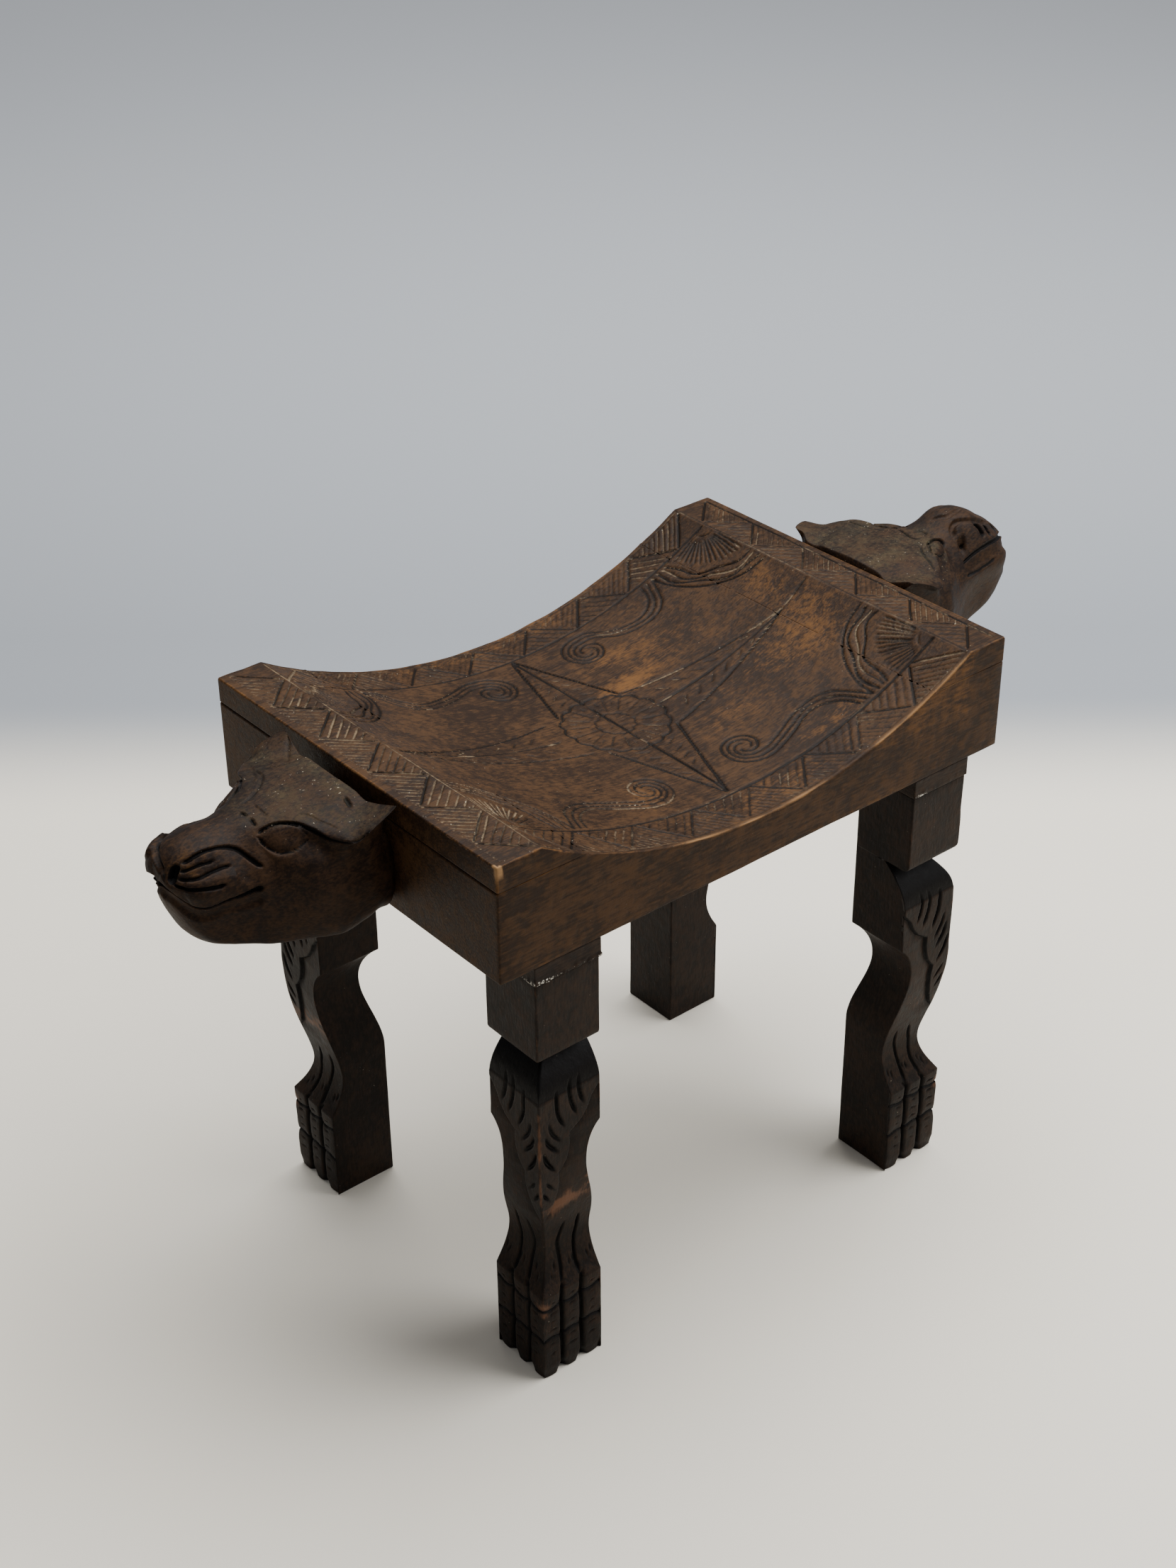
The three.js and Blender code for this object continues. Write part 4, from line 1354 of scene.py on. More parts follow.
        # Rubbed: the corner's ridge, the shin, the knuckles' crest and the block's arrises
        ragged = 0.5 + 0.5 * carver.noise.at(points, (30.0, 30.0, 14.0))
        on_shin = smooth_step(z, 143, 165) * smooth_step(z, 252, 246)
        shin = bell(z - 150, 0.25 * s, 10) * np.where(on_v, 1.0, 0.35)
        shin *= smooth_step(carver.noise.at(points, (9.0, 9.0, 5.0)), -0.6, 0.5)
        wear = bell(s, 0, 2.6) * (0.15 + 0.65 * on_shin) * (0.4 + 0.8 * ragged) + 1.05 * shin
        wear += 0.3 * bell(z, 72, 5) * ragged + 1.1 * bell(s, 0, 7) * bell(z, 66, 6.5)
        on_arris = np.abs(normals).max(1) < 0.97
        on_block = (z > self.notch[1]) * (0.45 * on_arris + 0.22) * ragged
        # The cut mark carries the cuts' stain and the painted shade of the bevel and the wing's outline
        marks = {"cut": dark_share, "wear": wear * outward + on_block, "dust": 0.25 * (1 - dark_share) * ragged}
        for _ in range(turns):
            points = np.stack([-points[..., 1], points[..., 0], points[..., 2]], -1)
        return Skin(points + [*middle, 0], marks).capped()

    def build(self) -> None:
        """Makes the four legs, each at its packed place."""
        wood = LEG_WOOD.build()
        for turns, place in enumerate(PLACES):
            node = f"leg_{place}"
            skin = self.skin(turns, sum(node_box(node))[:2] / 2, 40 + turns)
            place_piece(node, skin, wood)


@dataclass
class Pad:
    """A square packing pad between leg and seat, with flecks of dried glue at its joints."""

    arris: float = 0.8
    bead: float = 0.8

    def skin(self, node: str, seed: int) -> Skin:
        """A pad's skin at its packed place.

        Args:
            node: The pad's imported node.
            seed: Which beads.

        Returns:
            The skin.
        """
        low, high = node_box(node)
        noise = HandNoise(seed)
        inset, rise = rounding(self.arris)
        body = np.linspace(low[2] + self.arris, high[2] - self.arris, 12)[1:-1]
        z = np.concatenate([low[2] + rise, body, (high[2] - rise)[::-1]])
        shrink = np.concatenate([inset, 0 * body, inset[::-1]])
        u, v = ((low[i] + shrink, high[i] - shrink) for i in (0, 1))
        even = np.linspace(0, 1, 50)
        bar = SquaredBar(u, v, np.full((len(z), 4), self.arris), (even,) * 4, 3)
        points, normals = bar.upright(z)
        z = points[..., 2]
        # Glue lies thick at the leg and thin at the seat, in ragged flecks with beads on them
        ragged = 0.5 + 0.5 * noise.at(points, (14.0, 14.0, 40.0))
        near = bell(z, low[2] + 1.5, 3.0) + 0.4 * bell(z, high[2], 2.0)
        glue = np.clip(near * (0.25 + 1.1 * ragged), 0, 1)
        points[..., :2] += normals * (glue * self.bead * (noise.at(points, 2.6) > 0.3))[..., None]
        uneven = 0.15 + 0.12 * noise.at(points, 12.0)
        points[..., :2] -= normals * ((1 - glue) * uneven)[..., None]
        wear = 0.35 * (np.abs(normals).max(1) < 0.97) + 0 * z
        return Skin(points, {"cut": 0 * glue, "wear": wear, "glue": glue}).capped()

    def build(self) -> None:
        """Makes the four pads."""
        wood = PAD_WOOD.build()
        for seed, place in enumerate(PLACES):
            node = f"leg_pad_{place}"
            place_piece(node, self.skin(node, 70 + seed), wood)


# Heads


@dataclass(frozen=True)
class Egg:
    """Where an eye lies in the skin of the head: middle, half length and width, directions."""

    middle: Corner
    radii: Pair
    along: Corner
    outward: Corner

    def frame(self) -> tuple[Array, Array, Array]:
        """Unit vectors along it, across it and outwards.

        Returns:
            The three vectors.
        """
        along = np.array(self.along) / np.linalg.norm(self.along)
        outward = np.array(self.outward) - np.dot(self.outward, along) * along
        outward /= np.linalg.norm(outward)
        return along, np.cross(outward, along), outward


@dataclass(frozen=True)
class FaceCarving:
    """What one head's face is carved with, in the head's own place: out from the seat's end, half
    width and height. Each line comes with the cut's width and depth.

    The lines are cut on both cheeks, as are hollows and swells. Brow, furrows and lumps are made
    once and give Y, not half width. Furrows and hollows are wide and soft, swells and lumps are
    raised, and none of them is stained dark as a cut is.
    """

    eye: Egg
    lines: tuple[CarvedLine, ...]
    brow: tuple[CarvedLine, ...]
    furrows: tuple[CarvedLine, ...] = ()
    hollows: tuple[CarvedLine, ...] = ()
    swells: tuple[CarvedLine, ...] = ()
    lumps: tuple[CarvedLine, ...] = ()


def shifted_line(line: Iterable[Corner], wide: float = 0.0, up: float = 0.0) -> tuple[Corner, ...]:
    """A line moved sideways and up."""
    return tuple((x, y + wide, z + up) for x, y, z in line)


EAR_EDGE = ((42.5, 61.5, 444), (33, 64, 446), (24, 64, 448.5), (15.5, 61, 451))
LEFT_MOUTH = (
    (147, 0, 429.5), (147, 5.3, 428.8), (146.3, 11.3, 427.5), (142.8, 17.1, 423.1), (138.4, 21.8, 418.2),
    (134.8, 25, 415.9), (129.7, 29, 415.5), (123.5, 31.4, 415.9), (116.4, 33, 417.1), (107.5, 34.6, 417.5),
    (98, 37.2, 419.4), (92, 38.9, 420.9),
)
# The three grooves that fan out from the left head's nostril, then its pad's upper edge
LEFT_PAD = (
    (((140.3, 15.5, 441.7), (134.2, 19.3, 443), (126.6, 21.6, 444.6), (117.1, 23.7, 445.3)), 3.4, 2.0),
    (((142.3, 17, 438.2), (138, 21.5, 438.2), (131.6, 25.6, 438.4), (124.6, 26.8, 439.6),
      (117.3, 27.3, 440.7), (108, 28, 439.8)), 3.6, 2.3),
    (((144.5, 16.1, 435.4), (142.6, 20.4, 433.8), (139.5, 24, 433.4), (133.8, 28.3, 432.5),
      (127.1, 30.9, 431.8), (120.1, 32, 431.1), (114.9, 32.3, 431.4)), 3.8, 2.6),
    (((136, 14.2, 445.7), (132.9, 15.3, 446.8), (128.1, 16.1, 448.3), (123, 16.5, 449.6),
      (117.8, 17.4, 450.3), (107.7, 19.2, 449.4), (100.1, 21.8, 445.5), (95.4, 26.9, 440.3),
      (92, 31.3, 436.3), (88.6, 34.6, 433.5)), 4.2, 2.8),
)
LEFT_FACE = FaceCarving(
    eye=Egg((71.3, 31.6, 447.3), (16.4, 9.6), (0.815, -0.58, 0.02), (0.414, 0.585, 0.697)),
    lines=(
        # Upper lid, which runs on under the ear; lower lid; crease over the eye; edge of the ear
        (((84.6, 21.9, 449.5), (79.5, 21.8, 451.9), (74.5, 22.6, 453.6), (68.4, 25.5, 454.4),
          (61, 33.6, 454.3), (56.1, 41.7, 450.4), (51.9, 47.4, 447), (47.3, 53.4, 444), (43.4, 58, 443.2),
          (39.2, 61.9, 443.1)), 4.0, 2.8),
        (((84.7, 22.8, 448.6), (84, 26.1, 445.9), (81.8, 30.1, 443), (78.4, 34.5, 441), (74.8, 37.7, 440.4),
          (69.4, 40.1, 441.2), (63.1, 41, 442.8), (57.9, 40.7, 447)), 2.7, 1.7),
        (((57.6, 25.3, 455.9), (51.1, 31.5, 455.6), (48.8, 37.9, 454.3), (45.8, 43.9, 452.4),
          (40.9, 50.7, 449.9)), 2.2, 0.7),
        (((34.1, 54.5, 449.1), (25.8, 57.2, 451.1), (15.6, 60.8, 454.5), (7.1, 62.3, 458.1)), 2.8, 0.34),
        (EAR_EDGE, 2.6, 1.2),
        (shifted_line(LEFT_MOUTH, up=1), 6.4, 4.0),
    ),
    brow=(
        # The pad's lines are shorter on the far cheek, whose front end is left round
        *((tuple((x, -y, z) for x, y, z in line), width, depth) for line, width, depth in LEFT_PAD),
        *((tuple(spot for spot in line if spot[0] < 130), width, depth) for line, width, depth in LEFT_PAD),
        # Nostril, the fold behind the nose, whose dark cut stain is painted shade between the nose's ridge
        # and its far lump, then the lines over the brow
        (((137.2, -14.9, 444.5), (139.6, -13.5, 443.8), (142, -13.5, 441.6), (144, -14.7, 437.8),
          (145, -15.2, 434)), 9.0, 6.0),
        (((129, 20, 446), (133, 17.8, 446), (138, 12.5, 446), (142.5, 6, 445), (145, -1.3, 443.5),
          (146.3, -7.4, 439), (146.2, -11, 435)), 3.0, 1.5),
        (((46.2, 40.6, 456), (48.8, 26.3, 456), (62.9, 13, 456), (78.1, 7.8, 455)), 2.6, 1.1),
        (((70.9, 3.9, 456), (71.7, -8.9, 456), (71.8, -15.5, 455)), 2.4, 0.8),
        (((82.6, 1.5, 455), (80.9, -6.6, 454)), 3.2, 1.9),
        (((80.7, -7.9, 454), (82.2, -17.6, 452)), 3.2, 1.9),
        (((56, 42, 454), (40, 37, 455), (27, 31, 457), (14, 32, 458)), 2.6, 1.3),
        (((27, 31, 457), (16, 46, 456), (6, 60, 458)), 2.4, 1.0),
        (((22, -28.5, 456.5), (22.3, -33, 455), (22.8, -39, 453)), 5.2, 2.4),
    ),
    furrows=(
        (((126, 21, 446), (132, 18.5, 446), (138, 12.5, 446), (142.5, 6, 445), (145, -1.3, 443.5),
          (146.3, -7.4, 439)), 9.0, 2.6),
    ),
    hollows=((shifted_line(LEFT_MOUTH, up=-6), 15.0, 2.8),),
    swells=((((138, 20, 431), (129, 27, 431), (118, 31, 431), (106, 33, 428)), 24.0, 1.9),),
    lumps=((((122, 26, 442), (131, 24, 442.5), (137.5, 18, 443), (140.5, 12, 443)), 20.0, 3.4),),
)
RIGHT_LIP = (
    (95.6, 32.5, 438.2), (104.1, 32, 439.9), (112.5, 31.7, 442), (121.5, 31, 443.2), (132.8, 29.3, 443.7),
    (144.1, 25.1, 442.4), (156, 17, 438), (164, 8, 432), (167.5, 0, 429),
)
RIGHT_FACE = FaceCarving(
    eye=Egg((71, 27, 456.5), (13.5, 8.5), (0.85, -0.52, -0.06), (0.25, 0.45, 0.86)),
    lines=(
        (((67, 20, 458.3), (72, 17, 458), (77, 15.5, 457.5), (81, 16, 456.7), (84, 18.6, 455.5),
          (83.6, 21.4, 453.6), (82, 24.3, 451.7)), 4.4, 2.8),
        (((67, 20, 458.3), (61.4, 26.7, 458.6), (58, 32.5, 457.6), (66.3, 33.8, 453.1), (75, 30, 450.7),
          (81, 26, 450.4)), 2.6, 1.3),
        (((60.3, 18.7, 459), (54.3, 24.8, 459), (50.3, 31.2, 458.6), (48.8, 35.7, 457.8),
          (47.6, 40.4, 456.5), (46.7, 44.7, 455), (45, 47.7, 453.8)), 3.0, 1.5),
        (shifted_line(EAR_EDGE, up=2), 2.6, 1.2),
        # Grooves near the nose, the dent behind them and the edge of the lip
        (((117, 19, 462), (121, 21, 459), (122.9, 24.5, 454.6), (123.6, 27.4, 449.6)), 5.4, 3.4),
        (((128, 17, 458.5), (132, 19, 455), (132.7, 23.7, 450.6), (133.4, 26, 446.8)), 5.4, 3.4),
        (((144, 13, 450.5), (148, 14.5, 446.5), (146.2, 20.6, 444)), 5.0, 3.2),
        (((96.8, 37.1, 426.8), (109.9, 35.5, 426.5), (121.7, 34.2, 427.2), (137.8, 32.5, 429.5)), 3.0, 1.3),
        (((100.9, 24.3, 452), (101.4, 26, 449.7), (101.4, 27.6, 447.3)), 5.4, 3.2),
        (((158, 9, 443), (162, 10, 439), (164, 10.5, 435)), 6.0, 4.0),
        (RIGHT_LIP, 4.6, 3.2),
    ),
    brow=(
        (((69.7, 16.1, 458.4), (68.9, 9.1, 458.8), (67.2, 2.7, 459.1), (64.8, -2.5, 459.2),
          (65.6, -5.9, 459.1), (68, -8.5, 458.9), (72.3, -7.6, 458.7)), 3.2, 1.6),
        (((79.5, 5, 458.5), (79.9, -1.4, 458.6), (81.3, -4.9, 458.5), (79, -8, 458.3)), 3.0, 1.6),
    ),
    hollows=((shifted_line(RIGHT_LIP, wide=1.5, up=-7), 16.0, 2.0),),
    furrows=(
        (((96, -22, 455), (97.5, -18.1, 458.3), (99.8, -15.4, 461.1), (104.1, -14.2, 463.2),
          (111.5, -15, 463.8), (118.5, -17.3, 463), (129.4, -17.1, 458.4), (141, -13, 452.5)), 7.0, 2.4),
        (((93.7, 4.1, 462.5), (99.4, -1.6, 465.2), (103.7, -6.3, 466.1), (111.5, -5, 466.7),
          (121, -3.2, 466.5)), 6.5, 1.8),
        (((103.8, -22.4, 456), (100.4, -25.3, 450.4), (99, -29.7, 443.2)), 8.0, 2.2),
    ),
)


@dataclass
class CatHead:
    """A cat's head on a seat's end, cut to the carver's pattern.

    The pattern has guide lines from the middle of the crown round to the middle of the jaw. At
    each station they give out, the distance from the seat's end, the half width, and the drop
    below the crown. The right head's crown is higher, and its muzzle longer and higher.
    """

    side: int
    face: FaceCarving
    stretch: Pair = (0.0, 0.0)
    lift: float = 0.0
    crown_lift: float = 0.0
    ear_lift: float = 0.0
    ear_spread: float = 5.0
    rear: float = 0.0
    eye_height: float = 3.0
    eye_step: float = 1.5
    eye_rim: float = 0.8
    crown_dust: float = 0.95
    muzzle_wear: float = 0.45
    cheek_wear: float = 0.22
    rows: int = 236
    around: int = 396

    CROWN = 457.5
    # Where each guide line stands round the head, and the stations: place, then for each line how
    # far out and how wide it is, and its drop
    LINES = (0, 1, 1.6, 2.3, 2.8, 3.5, 4.4, 5.4, 6.4, 7.7)
    STATIONS = (
        (0, (0,) * 10, (0, 16, 24, 32, 39, 45, 49, 49, 40, 0),
         (17.5, 18.5, 20.5, 24.5, 30.5, 37.5, 51.5, 69.5, 81.5, 85.5)),
        (0.8, (7,) * 10, (0, 16, 25, 34, 41, 49, 55, 54, 45, 0),
         (18.5, 19.5, 21.5, 25.5, 30.5, 37.5, 51.5, 71.5, 84.5, 88.5)),
        (1.2, (13, 12, 11, 5.5, 9, 12, 13, 13, 13, 13), (0, 27, 38, 63, 56, 52, 57, 55, 44, 0),
         (0.5, 1.5, 4.5, -1.5, 7.5, 25.5, 49.5, 71.5, 84.5, 89)),
        (2, (24, 24, 24, 22, 23, 24, 25, 25, 25, 25), (0, 28, 42, 65.5, 57, 56, 59, 57, 46, 0),
         (0, 1, 5.5, 5.5, 13.5, 27.5, 49.5, 71.5, 86.5, 90)),
        (3, (38, 38, 38, 38, 39, 41, 42, 42, 42, 42), (0, 28, 45, 62.5, 57, 56, 59, 57, 46, 0),
         (0, 1.5, 5.5, 14, 18.5, 29.5, 49.5, 73.5, 89.5, 91.5)),
        (3.6, (48, 48, 48, 48, 49, 50, 51, 51, 51, 51), (0, 28, 42, 53, 50, 54, 58, 56, 44, 0),
         (0.5, 1.5, 4.5, 12, 16.5, 28.5, 49.5, 71.5, 89, 91.5)),
        (4.2, (58, 58, 58, 58, 58, 60, 62, 62, 62, 62), (0, 22, 32, 38.5, 41, 52, 55, 52, 41, 0),
         (1, 1.5, 2, 4, 11.5, 26.5, 46.5, 68.5, 87.5, 91)),
        (4.9, (70, 70, 70, 70, 71, 72, 73, 74, 74, 74), (0, 14, 20, 27.5, 33, 46, 48, 46, 37, 0),
         (1.5, 2, 2.5, 4, 10.5, 25.5, 43.5, 65.5, 86.5, 90)),
        (5.6, (85, 85, 85, 85, 86, 87, 87, 87, 87, 87), (0, 11, 16, 21, 27, 36, 41, 40, 34, 0),
         (2, 3, 4.5, 7.5, 13.5, 25.5, 39.5, 61.5, 84.5, 89)),
        (6.4, (99,) * 10, (0, 8, 12.5, 18, 25, 33, 37, 34, 30, 0),
         (2.5, 3.5, 5.5, 8.5, 15.5, 26.5, 37.5, 55.5, 80.5, 87.5)),
        (7.2, (113,) * 8 + (112, 112), (0, 8, 13, 19, 26, 32, 34.5, 29, 26, 0),
         (2.5, 3.5, 5.5, 7.5, 14.5, 24.5, 35.5, 53.5, 76.5, 85)),
        (8, (126, 126, 126, 126, 127, 128, 128, 124.5, 123, 123), (0, 7, 12, 17, 24, 30.5, 32, 27, 23.5, 0),
         (4, 5, 6.5, 9, 15.5, 24.5, 35.5, 51.5, 71.5, 80.5)),
        (8.8, (136.2, 136.2, 136.6, 136.6, 137.5, 138.4, 137.5, 133.8, 132.5, 132.5),
         (0, 5.5, 9.5, 14, 20, 25, 25, 22, 18.5, 0),
         (7.5, 8, 9.5, 12, 17.5, 24.5, 34.5, 49.5, 62.5, 70.5)),
        (9.5, (143, 143, 143, 143.4, 144.3, 144.8, 143.9, 140.2, 139.3, 139.3),
         (0, 4, 7, 10.5, 14, 17, 16, 15, 13, 0),
         (12, 12.5, 13.5, 15.5, 19.5, 25, 32.5, 43.5, 50.5, 55.5)),
        (9.9, (146.1, 146.1, 146.1, 146.6, 147.1, 147.1, 146.6, 144.8, 144.3, 144.3),
         (0, 2.5, 4.5, 6.5, 8.5, 9.5, 9, 7.5, 6, 0),
         (17.5, 18, 19, 20.5, 23, 26, 30.5, 35.5, 38.5, 41.5)),
        (10.3, (147.1,) * 10, (0,) * 10, (29.5,) * 10),
    )

    def pattern(self) -> Array:
        """The uncut skin: the curve through the stations along each line, then round the lines.

        Rings and points are spaced by their average distance, so that the mesh is even.

        Returns:
            Points as rows, around, 3: out, across and height, before the head's own shift.
        """
        places = np.array([place for place, *_ in self.STATIONS], float)
        net = np.array([np.transpose(station) for _, *station in self.STATIONS])
        net[..., 2] = self.CROWN - net[..., 2]
        lines = np.array(self.LINES, float)
        last = lines[-1]
        mirror = np.array([1, -1, 1.0])
        wrapped = np.concatenate([-lines[2:0:-1], lines, 2 * last - lines[-2:-4:-1]])

        def surface(q: Array, r: Array) -> Array:
            """The skin at places q along the head and r round it."""
            rings = through(places, net, q)
            ends = [rings[:, 2:0:-1] * mirror, rings, rings[:, -2:-4:-1] * mirror]
            return np.moveaxis(through(wrapped, np.moveaxis(np.concatenate(ends, 1), 1, 0), r), 0, 1)

        q, r = np.linspace(0, places[-1], 400), np.linspace(0, last, 300)
        rough = surface(q, r)
        down = np.linalg.norm(np.diff(rough, axis=0), axis=-1).mean(1)
        across = np.linalg.norm(np.diff(rough, axis=1), axis=-1).mean(0)
        steps = np.concatenate([[0], np.cumsum(down + 0.08)])
        turns = np.concatenate([[0], np.cumsum(across)])
        q = np.interp(np.linspace(0, steps[-1], self.rows), steps, q)
        r = np.interp(np.linspace(0, turns[-1], self.around // 2 + 1), turns, r)
        half = surface(q, r)[:-1]
        half[:, (0, -1), 1] = 0
        return np.concatenate([half, half[:, -2:0:-1] * mirror], 1)

    def eye_rise(self, placed: Array) -> Array:
        """How far the skin stands out at the eyes, along each eye's outward direction.

        An eye is an almond whose half width falls from its middle to both corners as a parabola.
        Inside, its height is the product of the two half circles along and across it, less a
        step down at its outline. Outside its lower edge a low rim runs along it.

        Args:
            placed: The skin at its real place.

        Returns:
            The shift of each point.
        """
        along, across, outward = self.face.eye.frame()
        long, short = self.face.eye.radii
        shift = np.zeros(placed.shape)
        for flip in np.array([(1, -1, 1), (1, 1, 1)]):
            away = placed * flip - self.face.eye.middle
            a, b, c = away @ along, away @ across, away @ outward
            open_share = np.maximum(1 - (a / long) ** 2, 1e-3)
            edge = np.abs(b) / (short * open_share)
            near = (np.abs(a) < long) & (np.abs(c) < 14)
            dome = np.sqrt(open_share * np.maximum(1 - edge**2, 0))
            rim = self.eye_rim * (b > 0) * bell(edge, 1.45, 0.25) * open_share
            height = np.where(edge < 1, self.eye_height * dome - self.eye_step, rim)
            shift += (near * height)[..., None] * outward * flip
        return shift

    def depth(
        self, lines: Iterable[CarvedLine], signs: Sequence[int], skin: Array, placed: Array
    ) -> Array:
        """How deep lines cut, each laid on to the nearest points of the skin.

        Args:
            lines: The lines, in the head's real place.
            signs: The signs of Y with which each line is laid.
            skin: The skin in the pattern's place, on which they are cut.
            placed: The same skin at its real place.

        Returns:
            The depth at each point.
        """
        carver = Carver(90 + self.side)
        flat, real = skin.reshape(-1, 3), placed.reshape(-1, 3)
        strokes = []
        for (line, width, depth), sign in product(lines, signs):
            path = flowing(line, 2.5) * [1, sign, 1]
            spots = flat[[((real - p) ** 2).sum(1).argmin() for p in path]]
            smooth = spots.copy()
            smooth[1:-1] = (spots[:-2] + 2 * spots[1:-1] + spots[2:]) / 4
            strokes.append(carver.stroke(smooth, Gouge(width, depth, 4.0), 0.3))
        return carve(flat, strokes).reshape(skin.shape[:2])

    def shifted(self, points: Array) -> Array:
        """The head's own shift: its crown and muzzle rise, its muzzle moves out, low lines most.

        Args:
            points: Points of the head.

        Returns:
            The points after the shift.
        """
        out, wide, down = points[..., 0], points[..., 1], self.CROWN - points[..., 2]
        upper = 1 - np.clip((down - 7.5) / 45, 0, 1)
        low, high = self.stretch
        ear = (np.sign(wide) == self.side) * smooth_step(out, 0, 26) * smooth_step(out, 80, 50)
        ear = ear * smooth_step(down, 26, 8) * smooth_step(np.abs(wide), 20, 50)
        settled = 1 - 0.8 * smooth_step(out, 116, 142)
        rise = self.crown_lift * smooth_step(out, 0, 10)
        rise += self.lift * smooth_step(out, 80, 108) * settled
        to_seat = smooth_step(points[..., 2], 428, 448) * smooth_step(out, 32, 13)
        to_seat *= self.rear * smooth_step(np.abs(wide), 58, 42)
        moved = points.copy()
        moved[..., 0] += (low * (1 - upper) + high * upper) * smooth_step(out, 95, 145) - to_seat
        moved[..., 1] += np.sign(wide) * self.ear_spread * ear
        moved[..., 2] += rise * upper + self.ear_lift * ear
        return moved

    def skin(self, node: str) -> Skin:
        """The carved head at its node's place on the seat's end.

        Args:
            node: The head's node.

        Returns:
            The skin.
        """
        noise = HandNoise(90 + self.side)
        base = self.pattern()
        formed = base + self.eye_rise(self.shifted(base))
        placed = self.shifted(formed)
        normals = grid_normals(formed)
        if normals[self.rows // 2, self.around // 4, 1] < 0:
            normals = -normals
        face = self.face
        lines, hollows, swells = (
            self.depth(part, (-1, 1), formed, placed) for part in (face.lines, face.hollows, face.swells)
        )
        brow, furrows, lumps = (
            self.depth(part, (self.side,), formed, placed) for part in (face.brow, face.furrows, face.lumps)
        )
        cuts = np.maximum(lines, brow)
        soft = hollows + furrows - (swells + lumps)
        uneven = 0.2 + 0.16 * noise.at(formed, 15.0) + 0.07 * noise.at(formed, 4.5)
        points = self.shifted(formed - normals * (cuts + soft + uneven)[..., None])
        # Dust greys the crown and lies beside the cuts; the muzzle and cheeks are rubbed
        up = np.clip(normals[..., 2], 0, 1)
        out = formed[..., 0]
        ragged = 0.5 + 0.5 * noise.at(formed, 17.0)
        cut = smooth_step(cuts, 0.35, 1.7)
        dust = self.crown_dust * up**1.5 * smooth_step(out, 125, 70) * (0.5 + 0.5 * ragged)
        dust = np.maximum(dust, smooth_step(cuts, 0.1, 0.4) * (1 - cut) * ragged)
        wear = self.muzzle_wear * ragged * smooth_step(out, 60, 110) * smooth_step(up, 0.1, 0.7)
        wear += self.cheek_wear * ragged * (np.abs(normals[..., 1]) > 0.5) * (formed[..., 2] < 432)
        low, high = node_box(node)
        seat_end = (low if self.side > 0 else high)[0]
        points = points * [self.side, self.side, 1] + [seat_end, 0, 0]
        return Skin(points, {"cut": cut, "wear": wear, "dust": dust})


def build_heads() -> None:
    """Makes both heads: the right one has the higher crown and the longer, higher muzzle."""
    wood = HEAD_WOOD.build()
    longer = CatHead(1, RIGHT_FACE, (28.5, 5.0), lift=9.5, crown_lift=3.0, ear_lift=5.5, rear=9.5)
    for node, head in (("head_right", longer), ("head_left", CatHead(-1, LEFT_FACE))):
        place_piece(node, head.skin(node), wood)


def dress_dowels() -> None:
    """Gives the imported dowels, which nothing shows, their bare turned wood."""
    wood = TurnedDowel().build()
    for name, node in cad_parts.items():
        if "dowel" in name:
            node.data.materials.clear()
            node.data.materials.append(wood)
            log.info("%s: dressed", name)


# Studio


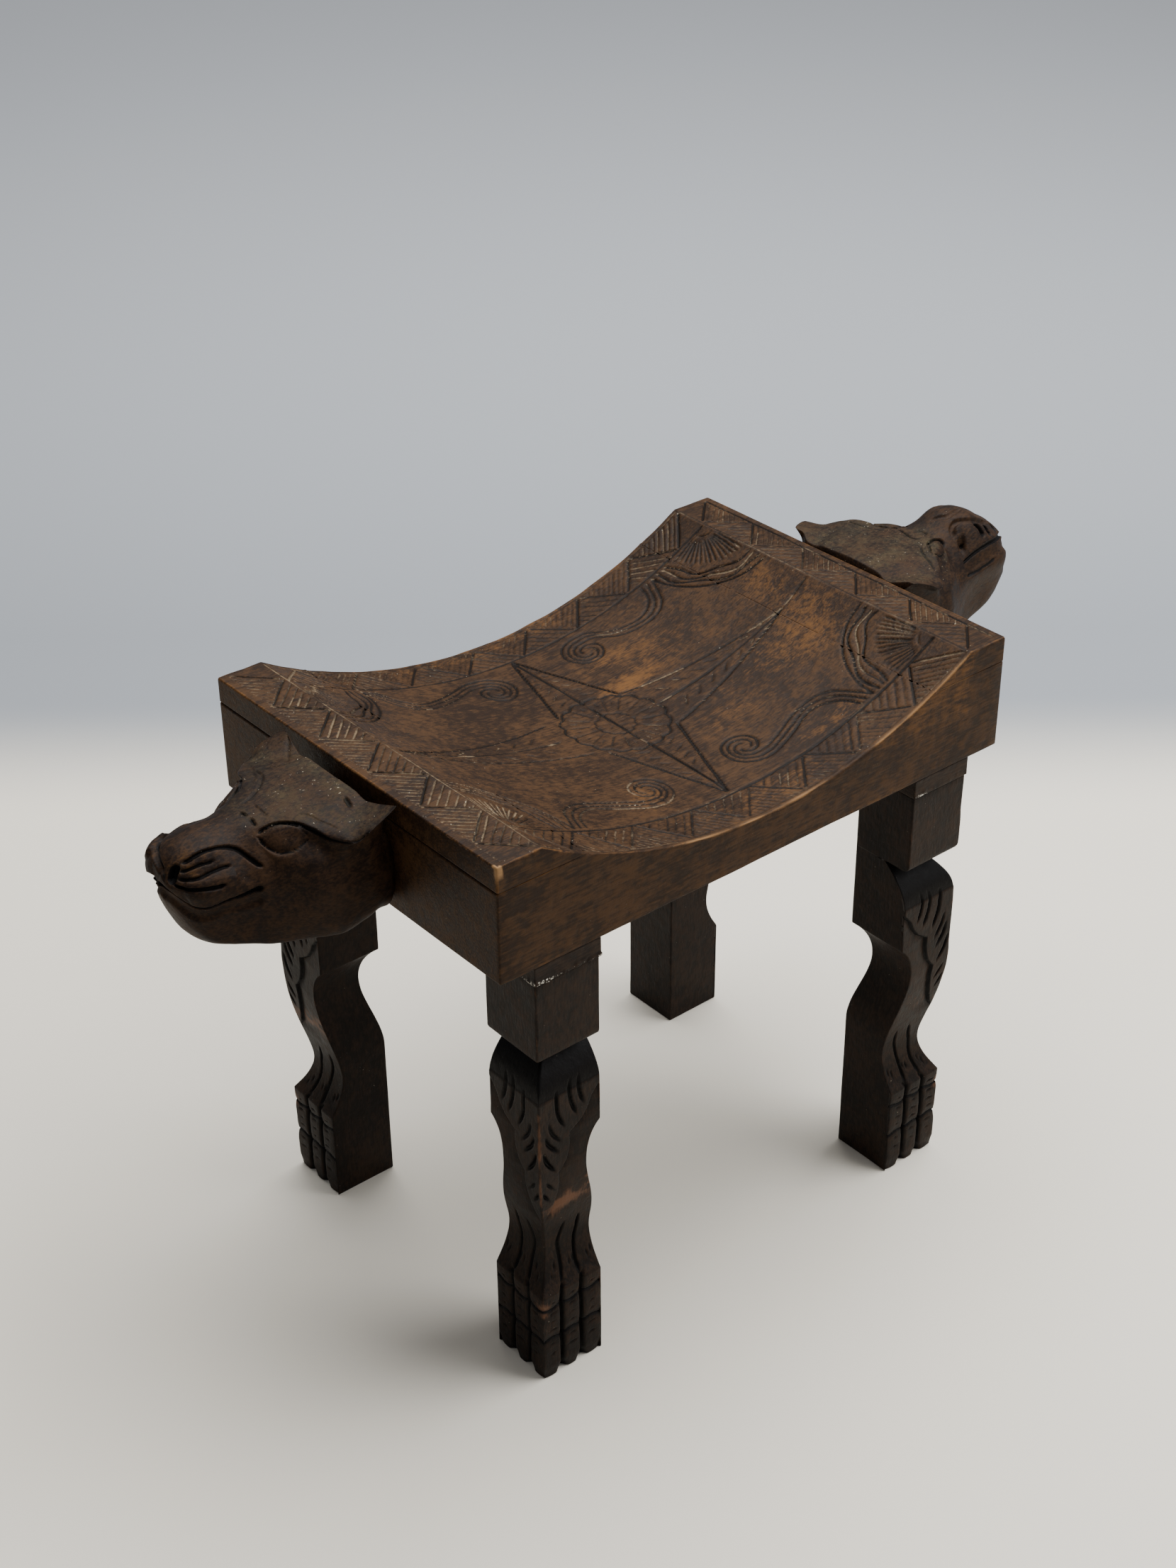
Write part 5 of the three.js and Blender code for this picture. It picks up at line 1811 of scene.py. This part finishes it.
@dataclass
class Studio:
    """Camera, pale floor and soft light."""

    focal_length: float = 53.64
    film_height: float = 36.0
    azimuth: float = -39.575
    elevation: float = 31.5075
    roll: float = -0.498
    place: Corner = (-946.75, -1112.42, 1246.46)
    floor_size: float = 14.0
    floor_colour: str = "#d8d2c5"
    backdrop_turn: float = 39.6
    daylight: tuple[str, float] = ("#f6f7fb", 0.33)
    backdrop_light: tuple[str, float] = ("#a2a6aa", 1.0)

    # The floor's shades behind the stool: metres where each starts and is full, and its colour
    SHADES = (("SMOOTHSTEP", 0.5, 0.75, "#868a8f"), ("LINEAR", 0.9, 4.2, "#e0e4e9"))
    # Lamps: name, place in metres, watts and side in metres, and what they all face
    LAMPS = (
        ("overhead_softbox", (0.5, 0.5, 2.6), 122.0, 2.2),
        ("high_window", (1.4, -0.9, 2.6), 76.0, 2.0),
        ("side_window", (1.6, -1.6, 1.8), 38.0, 1.8),
    )
    AIM = (0.0, 0.0, 0.35)

    def camera(self) -> None:
        """The camera at the photograph's place: it looks from its azimuth and elevation, rolled."""
        turn = Matrix()
        for angle, axis in ((self.azimuth, "Z"), (90 - self.elevation, "X"), (self.roll, "Z")):
            turn = turn @ Matrix.Rotation(math.radians(angle), 4, axis)
        data = bpy.data.cameras.new("camera")
        data.sensor_fit = "VERTICAL"
        data.sensor_height = self.film_height
        data.lens = self.focal_length
        camera = new_object("camera", data)
        where = (Vector(self.place) + Vector((seat_middle(), 0, 0))) * MM
        camera.matrix_world = Matrix.Translation(where) @ turn
        bpy.context.scene.camera = camera

    def floor(self) -> None:
        """A plain pale floor cloth. It turns cooler where the backdrop's cloth meets it, and is
        paler far away, where the lamps reach it less.
        """
        half = self.floor_size / 2
        mesh = bpy.data.meshes.new("floor")
        corners = [(-half, -half, 0), (half, -half, 0), (half, half, 0), (-half, half, 0)]
        mesh.from_pydata(corners, [], [(0, 1, 2, 3)])
        material, tree, shader, place = new_finish("plain_cotton_floor")
        turn = (0, 0, math.radians(self.backdrop_turn))
        turned = add_node(tree, MAPPING, {"Vector": place, "Rotation": turn})
        depth = add_node(tree, "ShaderNodeSeparateXYZ", {0: turned}, 1)
        colour = linear(self.floor_colour)
        for step, start, end, hue in self.SHADES:
            share = add_node(tree, RAMP, {0: depth, 1: start, 2: end}, interpolation_type=step)
            colour = add_node(tree, BLEND, {0: share, 6: colour, 7: linear(hue)}, 2, data_type="RGBA")
        feed(shader, {"Base Color": colour, "Roughness": 0.9, "Specular IOR Level": 0.2})
        mesh.materials.append(material)
        floor = new_object("floor", mesh)
        floor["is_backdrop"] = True

    def world(self) -> None:
        """Even daylight from all round, with a pale backdrop in the camera and in reflections."""
        world = bpy.data.worlds.new("daylight")
        bpy.context.scene.world = world
        world.use_nodes = True
        tree = world.node_tree
        tree.nodes.remove(tree.nodes["Background"])
        seen = 0.0
        for ray in ("Is Camera Ray", "Is Glossy Ray", "Is Transmission Ray"):
            path = add_node(tree, "ShaderNodeLightPath", output=ray)
            seen = add_node(tree, MATH, {0: seen, 1: path}, operation="MAXIMUM")
        light, backdrop = (
            add_node(tree, "ShaderNodeBackground", {"Color": linear(hue), "Strength": strength})
            for hue, strength in (self.daylight, self.backdrop_light)
        )
        mixed = add_node(tree, "ShaderNodeMixShader", {0: seen, 1: light, 2: backdrop})
        feed(tree.nodes["World Output"].inputs, {0: mixed})

    def lamp(self, name: str, place: Corner, power: float, size: float) -> None:
        """A soft square lamp that faces the seat.

        Args:
            name: Its name.
            place: Where it hangs, in metres.
            power: Its power in watts.
            size: The length of its side in metres.
        """
        data = bpy.data.lights.new(name, "AREA")
        data.energy = power
        data.size = size
        lamp = new_object(name, data)
        lamp.location = place
        aim = Vector(self.AIM) - Vector(place)
        lamp.rotation_euler = aim.to_track_quat("-Z", "Y").to_euler()

    def build(self) -> None:
        """Sets up camera, floor and light."""
        self.camera()
        self.floor()
        self.world()
        for name, place, power, size in self.LAMPS:
            self.lamp(name, place, power, size)


def main() -> None:
    """Builds the stool piece by piece, in the order of its making."""
    logging.basicConfig(level=logging.INFO, format="%(message)s")
    Studio().build()
    ornament = SeatOrnament(Carver(5)).strokes()
    log.info("seat ornament: %d strokes", len(ornament))
    Seat(strokes=ornament).build()
    Leg().build()
    Pad().build()
    build_heads()
    dress_dowels()
    sizes = {"cad": CAD_BOX, "visual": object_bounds()}
    {k: [list(corner) for corner in box] for k, box in sizes.items()}


if __name__ == "__main__":
    main()
